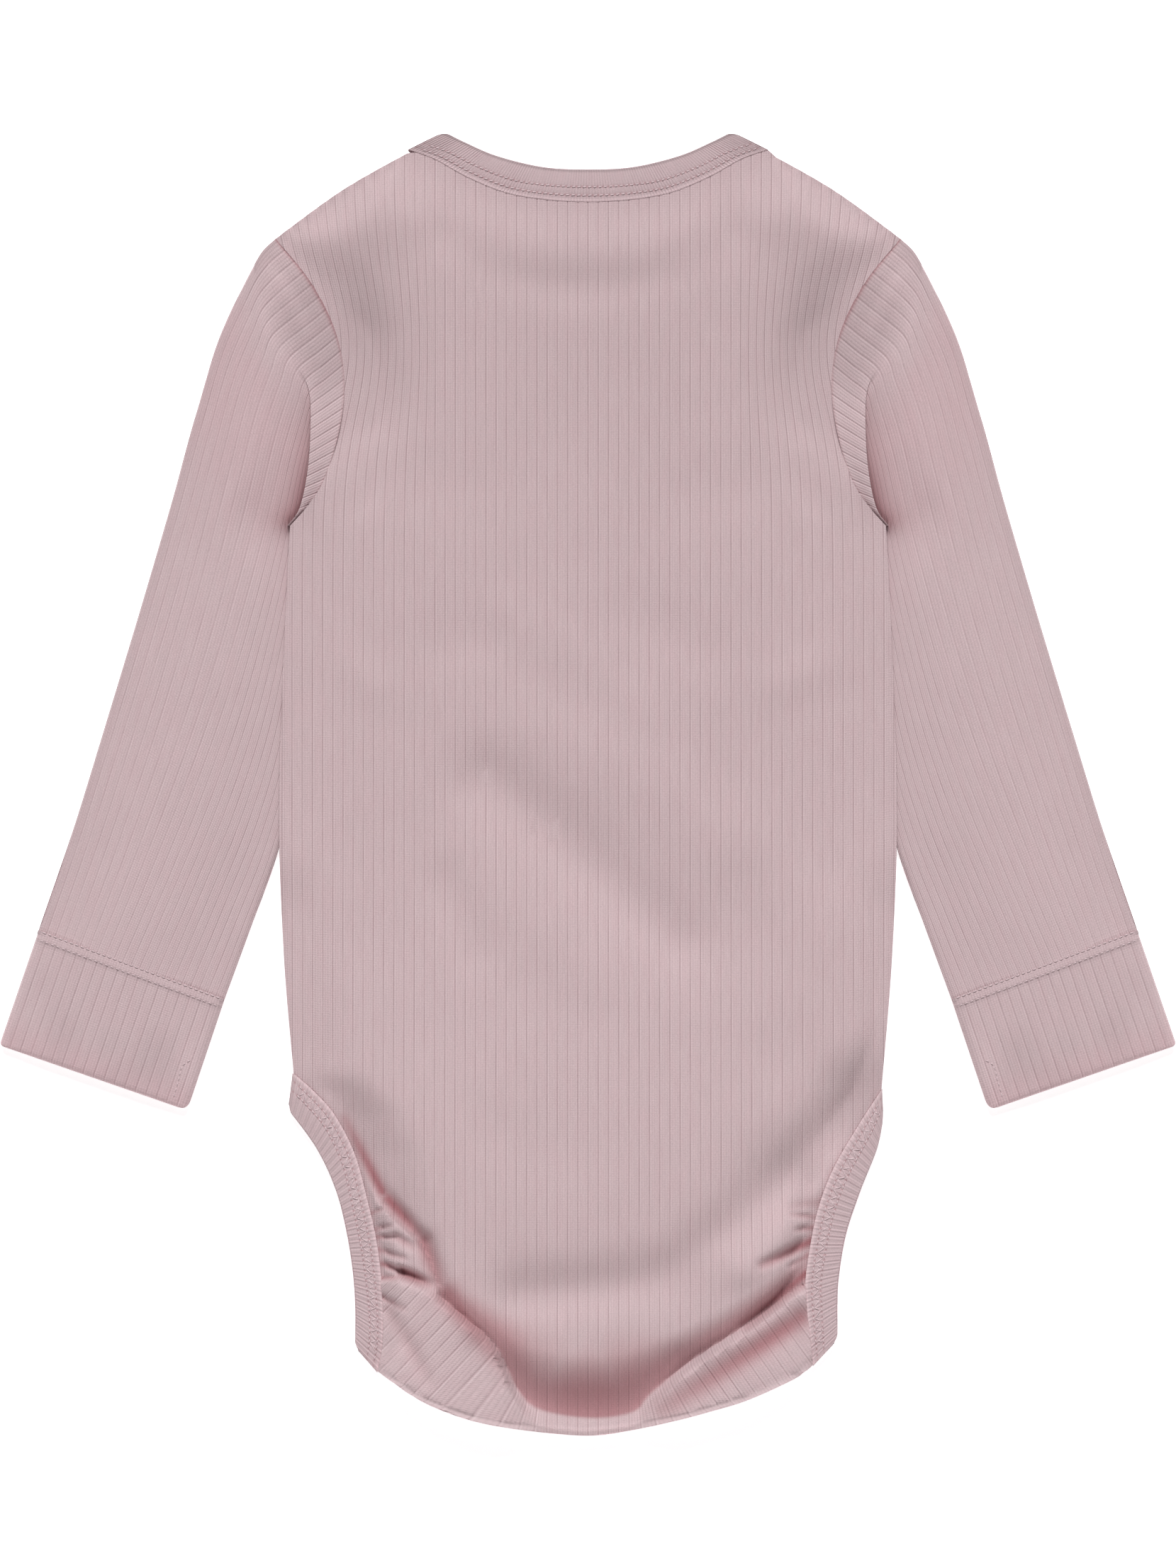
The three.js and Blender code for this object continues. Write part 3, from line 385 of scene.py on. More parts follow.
# Painted shade in the needle holes
HOLE_HALF = 0.36
HOLE_SHADE = 0.7
STUD_RADIUS = 4.6
STUD_SPACING = 22
STUD_ROW_Y = -207
STUD_ROW_RISE = 1.5
STUD_THICKNESS = 0.6
STUD_SIDES = 48

# Colours, linear
ROSE = (0.585, 0.455, 0.470, 1)
BINDING_ROSE = (0.580, 0.452, 0.468, 1)
THREAD_ROSE = (0.68, 0.55, 0.57, 1)
STUD_ROSE = (0.50, 0.38, 0.39, 1)
# The colour that the yarn's is multiplied by in full painted shade, deep in creases
PAINTED_SHADE_ROSE = (0.62, 0.33, 0.35)
PINKER = (1, 0.94, 0.95)

# The studio
CAMERA_HEIGHT = 2.0
FRAME_HEIGHT = 0.54194
FRAME_MIDDLE_Y = -0.0004
SENSOR = 36
FLOOR_HALF = 3
FLOOR_Z = -0.0004
PAPER = {"Base Color": (0.93, 0.93, 0.93, 1), "Roughness": 0.9, "Emission Color": (1, 1, 1, 1),
         "Emission Strength": 0.55}
WORLD_LIGHT = {"Color": (1, 0.9, 0.91, 1), "Strength": 0.25}

# Soft round lights, all aimed at the origin: name, place, size, power
LIGHTS = [
    ("key", (0, 9, 7), 4.2, 1230),
    ("fill", (0, -1.5, 1.5), 0.8, 11),
]


# Curves and smooth steps
def smooth(start, full, value):
    """0 at start and 1 at full, eased between them. Start may be the larger of the two."""
    share = np.clip((value - start) / (full - start), 0, 1)
    return share * share * (3 - 2 * share)


def lerp(a, b, share):
    return a + (b - a) * share


def spline(points, shares):
    """Points at shares of the way along a smooth curve through the given ones."""
    points = np.array(points, float)
    last = len(points) - 1
    place = np.asarray(shares, float) * last
    low = np.minimum(place.astype(int), last - 1)
    w = (place - low)[:, None]
    before, start, end, after = (points[np.clip(low + k, 0, last)] for k in (-1, 0, 1, 2))
    v0, v1 = (end - before) / 2, (after - start) / 2
    gap = end - start
    return (v0 + v1 - 2 * gap) * w**3 + (3 * gap - 2 * v0 - v1) * w**2 + v0 * w + start


def bell(value):
    """1 at 0, falling smoothly to nothing on both sides."""
    return np.exp(-value ** 2)


def length_of(steps):
    return np.linalg.norm(steps, axis=-1)


def steps_of(points):
    return join([[0], np.cumsum(length_of(np.diff(points, axis=0)))])


def along(points, count):
    """Evenly spaced points on a smooth curve through the given ones."""
    shares = np.linspace(0, 1, 201)
    way = steps_of(spline(points, shares))
    return spline(points, np.interp(np.linspace(0, way[-1], count + 1), way, shares))


def traced(points, step=3.0):
    return along(points, math.ceil(steps_of(np.array(points, float))[-1] / step))


def mirrored(points):
    return [(-x, *rest) for x, *rest in points]


def both_sides(points):
    return list(points) + mirrored(points)[::-1][1:]


def point_at(line, share):
    """The points a share along a run of evenly spaced points."""
    place = np.asarray(share, float) * (len(line) - 1)
    low = np.minimum(place.astype(int), len(line) - 2)
    return lerp(line[low], line[low + 1], (place - low)[..., None])


def level_at(points, x):
    """A curve's height y at x, straight between its points."""
    xs, ys = np.array(sorted(points), float).T
    return np.interp(x, xs, ys)


def turned(points):
    return [(y, x) for x, y in points]


def way_to(start, end, x, y):
    """How far along a straight stretch each point lies, as a share, and how far off it."""
    dx, dy = end[0] - start[0], end[1] - start[1]
    share = np.clip(((x - start[0]) * dx + (y - start[1]) * dy) / (dx * dx + dy * dy), 0, 1)
    return share, np.hypot(x - start[0] - dx * share, y - start[1] - dy * share)


def distance_to(points, x, y):
    least = np.full(np.shape(x), np.inf)
    for start, end in zip(points, points[1:]):
        least = np.minimum(least, way_to(start, end, x, y)[1])
    return least


def wobble(x, y, reach, seed):
    """A smooth uneven pattern of about -1 to 1, the same each time for the same seed."""
    draw = np.random.default_rng(seed)
    total = np.zeros(np.broadcast(x, y).shape)
    for _ in range(WOBBLE_WAVES):
        angle, phase, scale = draw.uniform(0, math.pi), draw.uniform(0, math.tau), draw.uniform(0.6, 1.6)
        total = total + np.sin((x * math.cos(angle) + y * math.sin(angle)) * scale / reach + phase)
    return total / (WOBBLE_WAVES / 2)


# The shape of the back
LIP_LINE, TROUGH_LINE, FOLD_LINE = (traced(line).tolist() for line in (LIP_EDGE, TROUGH_EDGE, FOLD_EDGE))


def half_width(x, y):
    """Half width of the back at each point's height, on the point's own side."""
    def edge(seam, side):
        return np.abs(np.where(y < seam[0][1], level_at(turned(seam), y), level_at(turned(side), y)))

    upper = -level_at(turned(ARMHOLE) + turned(SHOULDER), y)
    lower = np.where(x < 0, edge(LEFT_LEG_SEAM, LEFT_SIDE), edge(RIGHT_LEG_SEAM, RIGHT_SIDE))
    return np.where(y > UNDERARM_Y, upper, lower)


def patches(table, x, y):
    """The sum of round soft patches, from a table of their places, reaches and amounts."""
    return sum(amount * np.exp(-((x - px) / across) ** 2 - ((y - py) / length) ** 2)
               for px, py, across, length, amount in table)


def soft_folds(table, x, y):
    """The sum of soft ridges and valleys along lines."""
    return sum(rise * bell(distance_to(traced(line, 6), x, y) / width) for rise, width, line in table)


def underside(x, y):
    """How high the back's inner face lies, over the front and over a sleeve's margin."""
    inside = np.maximum(0, half_width(x, y) - np.abs(x))
    inner = np.minimum(inside, distance_to(traced(both_sides(NECK_SEAM), 6), x, y))
    swell = soft_folds(SOFT_FOLDS, x, y) * smooth(0, SOFT_REACH, inner)
    puff = np.maximum(LEAST_PUFF, PUFF * smooth(0, PUFF_REACH, inner) + swell)
    over_sleeve = (smooth(SLEEVE_OUT_Y - LIFT_FADE, SLEEVE_OUT_Y, y)
                   * smooth(LIFT_TOP_Y + LIFT_FADE, LIFT_TOP_Y, y)
                   * smooth(LIFT_REACH, SLEEVE_MARGIN, inside))
    return LAYER_TOP + puff * (1 - over_sleeve) + SLEEVE_LIFT * over_sleeve


def creases_at(x, y, narrower=1.0):
    """How fully each crease lies at the points, with its depth and its shade."""
    for start, end, depth, width, dark in CREASES:
        share, off = way_to(start, end, x, y)
        yield (1 - CREASE_TAPER * share**2) * bell(off / (narrower * width)), depth, dark


def crease_depth(x, y):
    return sum(fullness * depth for fullness, depth, _ in creases_at(x, y))


def on_lip(x, y):
    slope = lerp(MIDDLE_LAP_SLOPE, LAP_SLOPE, smooth(LIP_START_X, LIP_FULL_X, np.abs(x)))
    return smooth(-slope, 2 * slope, level_at(LIP_LINE, x) - y)


def fold_height(x, y):
    """The folds on the back: the full seat, the bulge at the left leg, and the turned-up lips."""
    inside = half_width(x, y) - np.abs(x)
    above_trough = y - level_at(TROUGH_LINE, x)
    seat = (SEAT_RISE * smooth(SEAT_START_Y, SEAT_FULL_Y, y)
            * smooth(-TROUGH_SLOPE, TROUGH_SLOPE, above_trough)
            * smooth(0, np.where(x < 0, SEAT_REACH_LEFT, SEAT_REACH), inside))
    seat = np.maximum(0, seat + soft_folds(SEAT_FOLDS, x, y) * smooth(0, SEAT_REACH / 2, inside))
    past_edge = level_at(turned(FOLD_LINE), y) - x
    bulge = (FOLD_RISE * smooth(-LAP_SLOPE, LAP_SLOPE, past_edge) * smooth(FOLD_START_Y, FOLD_FULL_Y, y)
             * smooth(0, LAP_REACH, inside))
    lip_top = lerp(MIDDLE_LIP_RISE, LIP_RISE, smooth(LIP_START_X, LIP_FULL_X, np.abs(x)))
    rolled = np.sqrt(smooth(0, LIP_ROLL, y - level_at(BOTTOM, x)))
    lip = lip_top * rolled * lerp(LIP_AT_SEAM, 1, smooth(0, LAP_REACH, inside))
    cloth = lerp(np.maximum(seat, np.where(x < 0, bulge, 0)), lip, on_lip(x, y))
    return np.maximum(0, cloth - crease_depth(x, y) * smooth(0, CREASE_FADE, cloth))


def edge_roll(x, y):
    """Rounds the sides and the shoulders down, where the back turns round to the front."""
    inside = np.clip((half_width(x, y) - np.abs(x)) / EDGE_ROLL_REACH, 0, 1)
    side = EDGE_ROLL * (1 - inside) ** 2
    slope = np.clip(distance_to(SHOULDER, -np.abs(x), y) / EDGE_ROLL_REACH, 0, 1)
    return np.where(y > UNDERARM_Y, SHOULDER_ROLL * (1 - slope) ** 2, side)


def crease_shade(x, y):
    """How deep in shade the back's cloth lies, from 0 to 1: in creases, under laps and in the trough."""
    shade = np.zeros(np.shape(x))
    for fullness, _, dark in creases_at(x, y, 0.9):
        shade = np.maximum(shade, dark * fullness)
    middle = bell((x - TROUGH_MIDDLE_X) / TROUGH_HALF_WIDTH)
    reach = lerp(SIDE_TROUGH_REACH, TROUGH_REACH, middle)
    off = distance_to(LIP_LINE, x, y) * (y > level_at(LIP_LINE, x))
    trough = lerp(SIDE_TROUGH_SHADE, TROUGH_SHADE, middle) * smooth(0, 1.5, off)
    trough = trough * smooth(reach, 0.3 * reach, off) * smooth(*TROUGH_LEFT, x) * smooth(*TROUGH_RIGHT, x)
    return np.maximum(shade, trough)


def rim_glow(x, y):
    """A painted highlight on the lips' lower rims, standing for the light that the paper throws up onto
    them.
    """
    return RIM_GLOW * smooth(LIP_ROLL + 0.3, LIP_ROLL / 2, y - level_at(BOTTOM, x)) * smooth(*RIM_GLOW_Y, y)


def place_rib(across, y):
    """Ribs run down the body, bow in beside the armholes, and lean outwards once they are over a lip."""
    bow = BOW * np.maximum(0, np.abs(across) - BOW_START_X) * bell((y - BOW_Y) / BOW_REACH)
    below = np.maximum(0, level_at(LIP_LINE, across) - y)
    lean = np.where(across < 0, LIP_LEAN_LEFT, LIP_LEAN_RIGHT)
    return across - np.sign(across) * bow + lean * below * smooth(LIP_START_X, LIP_FULL_X, np.abs(across))


def groove_at(across, pitch):
    """How far the cloth lies below a rib's crown, with a narrow groove between ribs."""
    off = np.abs(across - np.round(across / pitch) * pitch)
    return RIB_DEPTH * bell(off / GROOVE_HALF) + RIB_CROWN * (1 - 2 * off / pitch) ** 2


# Meshes
def grid_faces(rows, columns, base=0, wrap=False):
    """Quads of a grid of points whose rows follow each other."""
    ids = base + np.arange(rows * columns).reshape(rows, columns)
    right = np.roll(ids, -1, axis=1) if wrap else ids[:, 1:]
    left = ids if wrap else ids[:, :-1]
    quads = np.stack([left[:-1], left[1:], right[1:], right[:-1]], axis=-1)
    return quads.reshape(-1, 4).tolist()


def zipped(upper, lower):
    """Triangles between two runs of (vertex, share of the way)."""
    faces = []
    i = j = 0
    while i + 1 < len(upper) or j + 1 < len(lower):
        upper_next = upper[i + 1][1] if i + 1 < len(upper) else math.inf
        lower_next = lower[j + 1][1] if j + 1 < len(lower) else math.inf
        if upper_next <= lower_next:
            faces.append([lower[j][0], upper[i + 1][0], upper[i][0]])
            i += 1
        else:
            faces.append([lower[j][0], lower[j + 1][0], upper[i][0]])
            j += 1
    return faces


def rim_of(rows, columns, base):
    """The rim of a grid, from its first corner down, across, up and back."""
    ids = base + np.arange(rows * columns).reshape(rows, columns)
    sides = [ids[:, 0], ids[-1], ids[::-1, -1], ids[0, ::-1]]
    return [(int(v), k + n / (len(side) - 1)) for k, side in enumerate(sides)
            for n, v in enumerate(side) if n + 1 < len(side) or k == 3]


def ring_of(columns, top, base):
    """A ring of points as (vertex, share of the way), with its first ones, the top, in the first half."""
    return [(base + k % columns, 0.5 * k / top if k < top else 0.5 + 0.5 * (k - top) / (columns - top))
            for k in range(columns + 1)]


def cloth_grid(first, second, across_first=False):
    """Cloth places of a grid. Its rows follow the first values, or with across_first its columns do."""
    grid = (first[None, :], second[:, None]) if across_first else (first[:, None], second[None, :])
    return np.stack(np.broadcast_arrays(*grid), axis=-1).reshape(-1, 2)


def turned_out(points, faces):
    """The faces, turned so that they face out of the body that they close."""
    p = np.array(points, float)
    triangles = np.array([[f[0], f[k], f[k + 1]] for f in faces for k in range(1, len(f) - 1)])
    a, b, c = (p[triangles[:, k]] for k in range(3))
    outward = np.einsum("ij,ij->i", a, np.cross(b, c)).sum() > 0
    return faces if outward else [f[::-1] for f in faces]


def placed(name, data):
    """A new object in the scene."""
    made = bpy.data.objects.new(name, data)
    bpy.context.scene.collection.objects.link(made)
    return made


def points_of(mesh):
    points = np.empty(3 * len(mesh.vertices), np.float32)
    mesh.vertices.foreach_get("co", points)
    return points.reshape(-1, 3)


def body(name, points, faces, cloth):
    """A mesh object of points in millimetres, with its cloth places as a UV map."""
    mesh = bpy.data.meshes.new(name)
    mesh.from_pydata((np.array(points) * MM).tolist(), [], turned_out(points, faces))
    mesh.update()
    uv = mesh.uv_layers.new(name="cloth")
    corners = np.empty(len(mesh.loops), int)
    mesh.loops.foreach_get("vertex_index", corners)
    uv.data.foreach_set("uv", np.array(cloth, np.float32)[corners].ravel())
    mesh.polygons.foreach_set("use_smooth", np.ones(len(mesh.polygons), bool))
    return placed(name, mesh)


def tint_of(shade=0.0, dim=0.0, pink=0.0):
    """A colour to multiply the yarn's by: rose painted shade in deep creases, darker painted shade, a
    painted highlight where dim is below 0, or pinker.
    """
    shade, dim, pink = (np.asarray(v, float)[..., None] for v in (shade, dim, pink))
    return (1 - shade * (1 - np.array(PAINTED_SHADE_ROSE))) * (1 - dim) * (1 - pink * (1 - np.array(PINKER)))


def set_tint(piece, tint):
    """Keeps a tint for each point, which holds its painted shade and painted highlights: an array, or a
    function of places in millimetres.
    """
    mesh = piece.data
    if callable(tint):
        x, y, _ = points_of(mesh).T.astype(float) / MM
        tint = tint(x, y)
    values = np.ones((len(mesh.vertices), 4), np.float32)
    values[:len(tint), :tint.shape[1]] = tint
    layer = mesh.attributes.new("tint", "FLOAT_COLOR", "POINT")
    layer.data.foreach_set("color", values.ravel())


def prism(name, outline, low, high):
    outline = np.array(outline, float)
    count = len(outline)
    points = [(x, y, z) for z in (low, high) for x, y in outline]
    walls = [[k, (k + 1) % count, count + (k + 1) % count, count + k] for k in range(count)]
    faces = [list(range(count))[::-1], list(range(count, 2 * count)), *walls]
    return body(name, points, faces, [(x, -y) for x, y, _ in points])


def cut(piece, tool, operation):
    """Cuts a closed mesh with another, and removes the tool."""
    step = piece.modifiers.new("cut", "BOOLEAN")
    step.operation = operation
    step.solver = "MANIFOLD"
    step.object = tool
    shown = piece.evaluated_get(bpy.context.evaluated_depsgraph_get())
    result = bpy.data.meshes.new_from_object(shown)
    piece.modifiers.clear()
    old = piece.data
    piece.data = result
    bpy.data.meshes.remove(old)
    bpy.data.objects.remove(tool)
    result.name = piece.name


def soften(piece, angle=50):
    """Smooth shading that keeps edges sharper than the angle."""
    mesh = piece.data
    mesh.polygons.foreach_set("use_smooth", np.ones(len(mesh.polygons), bool))
    mesh.set_sharp_from_angle(angle=math.radians(angle))


def mirror_of(piece, name):
    """A mirrored copy of a left piece for the right side."""
    mesh = piece.data.copy()
    mesh.name = name
    mesh.vertices.foreach_set("co", (points_of(mesh) * (-1, 1, 1)).astype(np.float32).ravel())
    mesh.flip_normals()
    return placed(name, mesh)


# The back panel
def back_outline():
    shoulder, armhole = traced(SHOULDER), traced(ARMHOLE)
    neck = traced(both_sides(NECK_SEAM))
    flip = np.array([-1, 1])
    runs = [neck, (shoulder * flip), (armhole * flip), traced(RIGHT_SIDE), traced(RIGHT_LEG_SEAM),
            traced(BOTTOM)[::-1], traced(LEFT_LEG_SEAM)[::-1], traced(LEFT_SIDE)[::-1], armhole[::-1],
            shoulder[::-1]]
    return join([run[1:] for run in runs])


def back_panel():
    across = np.array([n * RIB_PITCH + place for n in range(-HALF_RIBS, HALF_RIBS) for place in RIB_PLACES]
                      + [HALF_RIBS * RIB_PITCH])
    body_rows = np.arange(TOP_REACH, SEAT_ROWS[0][0], -BODY_ROW_STEP)
    seat_rows = spline(SEAT_ROWS, np.linspace(0, 1, SEAT_ROW_SPLIT * (len(SEAT_ROWS) - 1) + 1))
    rows = join([np.repeat(body_rows[:, None], 3, axis=1), seat_rows, np.full((1, 3), BOTTOM_REACH)])
    seam = np.where(across < 0, rows[:, :1], rows[:, 2:])
    inward = np.clip((SEAM_REACH - np.abs(across)) / (SEAM_REACH - MIDDLE_REACH), 0, 1)
    y = lerp(seam, rows[:, 1:2], inward)
    x = place_rib(np.broadcast_to(across, y.shape), y)
    z = underside(x, y) + BACK_WALL + fold_height(x, y) - edge_roll(x, y) - groove_at(across, RIB_PITCH)
    top = np.stack([x, y, z], axis=-1)
    length = join([np.zeros((1, len(across))), np.cumsum(length_of(np.diff(top, axis=0)), axis=0)])
    top_cloth = np.stack([np.broadcast_to(across, y.shape), length], axis=-1)
    reach = HALF_RIBS * RIB_PITCH + LIFT_REACH / 2
    under_rows = join([np.linspace(TOP_REACH, CROTCH_START_Y, 20),
                       np.linspace(CROTCH_START_Y, BOTTOM_REACH, 14)[1:]])
    under_x, under_y = np.meshgrid(np.linspace(-reach, reach, 33), under_rows)
    level = underside(under_x, under_y)
    turned_under = smooth(CROTCH_TURN, CROTCH_TURN / 3, under_y - level_at(BOTTOM, under_x))
    level = lerp(level, np.minimum(level, LAYER_TOP + LEAST_PUFF), turned_under)
    bottom = np.stack([under_x, under_y, level], axis=-1)
    points = join([top.reshape(-1, 3), bottom.reshape(-1, 3)])
    cloth = join([top_cloth.reshape(-1, 2), bottom.reshape(-1, 3)[:, :2] * (1, -1)])
    base = x.size
    faces = (grid_faces(*y.shape) + [f[::-1] for f in grid_faces(*under_y.shape, base)]
             + zipped(rim_of(*y.shape, 0), rim_of(*under_y.shape, base)))
    piece = body("back_rib", points, faces, cloth)
    cut(piece, prism("outline", back_outline(), PRISM_FLOOR, PRISM_TOP), "INTERSECT")
    soften(piece)
    # Painted shade: rose in creases, under laps and in the trough, and darker in soft patches; painted
    # highlights on the lips' rims and where a soft patch is below 0
    set_tint(piece, lambda x, y: tint_of(crease_shade(x, y), patches(SOFT_SHADES, x, y) - rim_glow(x, y)))
    return piece


# Flattened tubes: sleeves and cuffs
def rib_shares(ribs, width):
    """Shares across a tube's top with a groove at each rib, and the cloth place of each."""
    pitch = width / ribs
    one_rib = np.array(RIB_PLACES) * pitch / RIB_PITCH
    places = join([n * pitch + one_rib for n in range(ribs)] + [[width]])
    return places / width, places


def rounded(height, inside):
    """A tube's height near its side edge, where the cloth turns round to the other side."""
    near = np.clip(inside / EDGE_ROUND, 0, 1)
    return EDGE_LEVEL + (height - EDGE_LEVEL) * np.sqrt(1 - (1 - near) ** 2)


def flat_tube(name, lines, heights, places, width, wall, tint, plain=0.0):
    """A flattened tube. Lines holds rows of points across the top, heights and tint what belongs to them,
    and plain is how far the rows are free of ribs."""
    rows, columns = heights.shape
    pitch = RIB_PITCH / 2
    to_side = np.minimum(places, width - places)
    groove = (1 - plain) * groove_at(places, RIB_PITCH) * smooth(0, pitch, to_side)
    top = join([lines, (heights - groove)[..., None]], axis=2)
    across = lines[:, -1:] - lines[:, :1]
    spans = length_of(across)[..., None]
    ways = across / spans
    sides = ([(-1, -inset, level) for inset, level in FLOOR_TURNS]
             + [(0, inset, level) for inset, level in FLOOR_TURNS[::-1]])
    floor = np.stack([join([lines[:, side] + inset * ways[:, 0], np.full((rows, 1), level)], axis=1)
                      for side, inset, level in sides], axis=1)
    outer = join([top, floor], axis=1)
    shares = np.linspace(0, 1, 9)
    pick = np.linspace(0, columns - 1, 9).round().astype(int)
    picked_rows = np.unique(np.linspace(0, rows - 1, 14).round().astype(int))
    margin = 2.6 / spans[picked_rows]
    low, high = lines[picked_rows, :1], across[picked_rows]
    marks = lerp(margin, 1 - margin, shares[None, :, None])[..., 0]
    roof_xy = np.stack([[np.interp(mark, places / width, lines[row, :, axis])
                         for row, mark in zip(picked_rows, marks)] for axis in (0, 1)], axis=-1)
    lowest = [[heights[picked_rows[max(i - 1, 0)]:picked_rows[min(i + 1, len(picked_rows) - 1)] + 1,
                       pick[max(j - 1, 0)]:pick[min(j + 1, 8)] + 1].min() for j in range(9)]
              for i in range(len(picked_rows))]
    roof_z = np.maximum(wall + LAYER_GAP, np.array(lowest) - RIB_DEPTH - RIB_CROWN - wall)
    roof = join([roof_xy, roof_z[..., None]], axis=2)
    base_xy = low + high * lerp(1 - 1.2 * margin, 1.2 * margin, np.linspace(0, 1, 5)[None, :, None])
    under = join([base_xy, np.full((*base_xy.shape[:2], 1), wall)], axis=2)
    inner = join([roof, under], axis=1)
    outer_count, inner_count = outer.shape[1], inner.shape[1]
    base = rows * outer_count
    first = zipped(ring_of(outer_count, columns, 0), ring_of(inner_count, len(pick), base))
    last = zipped(ring_of(outer_count, columns, base - outer_count),
                  ring_of(inner_count, len(pick), base + (len(picked_rows) - 1) * inner_count))
    faces = (grid_faces(rows, outer_count, 0, True)
             + [f[::-1] for f in grid_faces(len(picked_rows), inner_count, base, True)]
             + [f[::-1] for f in first] + last)
    way = steps_of(lines[:, columns // 2])
    outer_across = join([places, width + np.array([1, 2, 12, width - 12, width - 2, width - 1])])
    points = join([outer.reshape(-1, 3), inner.reshape(-1, 3)])
    cloth = join([cloth_grid(outer_across, way, True),
                  cloth_grid(np.linspace(0, 2 * width, inner_count), way[picked_rows], True)])
    piece = body(name, points, faces, cloth)
    soften(piece)
    channels = tint.shape[2]
    set_tint(piece, join([tint, np.ones((rows, 6, channels))], axis=1).reshape(-1, channels))
    return piece


def between_lines(lines, places):
    """Rows at places down from the first of the given lines, on a smooth curve down each column."""
    lines = np.array(lines)
    gaps = length_of(np.diff(lines, axis=0)).mean(axis=1)
    marks = join([[0], np.cumsum(gaps)])
    slopes = np.diff(lines, axis=0) / gaps[:, None, None]
    middle = (slopes[:-1] * gaps[1:, None, None] + slopes[1:] * gaps[:-1, None, None]) / (
        gaps[:-1] + gaps[1:])[:, None, None]
    tangents = join([slopes[:1], middle, slopes[-1:]])
    low = np.clip(np.searchsorted(marks, places, side="right") - 1, 0, len(gaps) - 1)
    gap = gaps[low][:, None, None]
    t = np.clip((places - marks[low]) / gaps[low], 0, 1)[:, None, None]
    return (lines[low] * (2 * t**3 - 3 * t**2 + 1) + tangents[low] * gap * (t**3 - 2 * t**2 + t)
            + lines[low + 1] * (3 * t**2 - 2 * t**3) + tangents[low + 1] * gap * (t**3 - t**2))


def mean_length(lines):
    return length_of(np.diff(np.array(lines), axis=0)).mean(axis=1).sum()


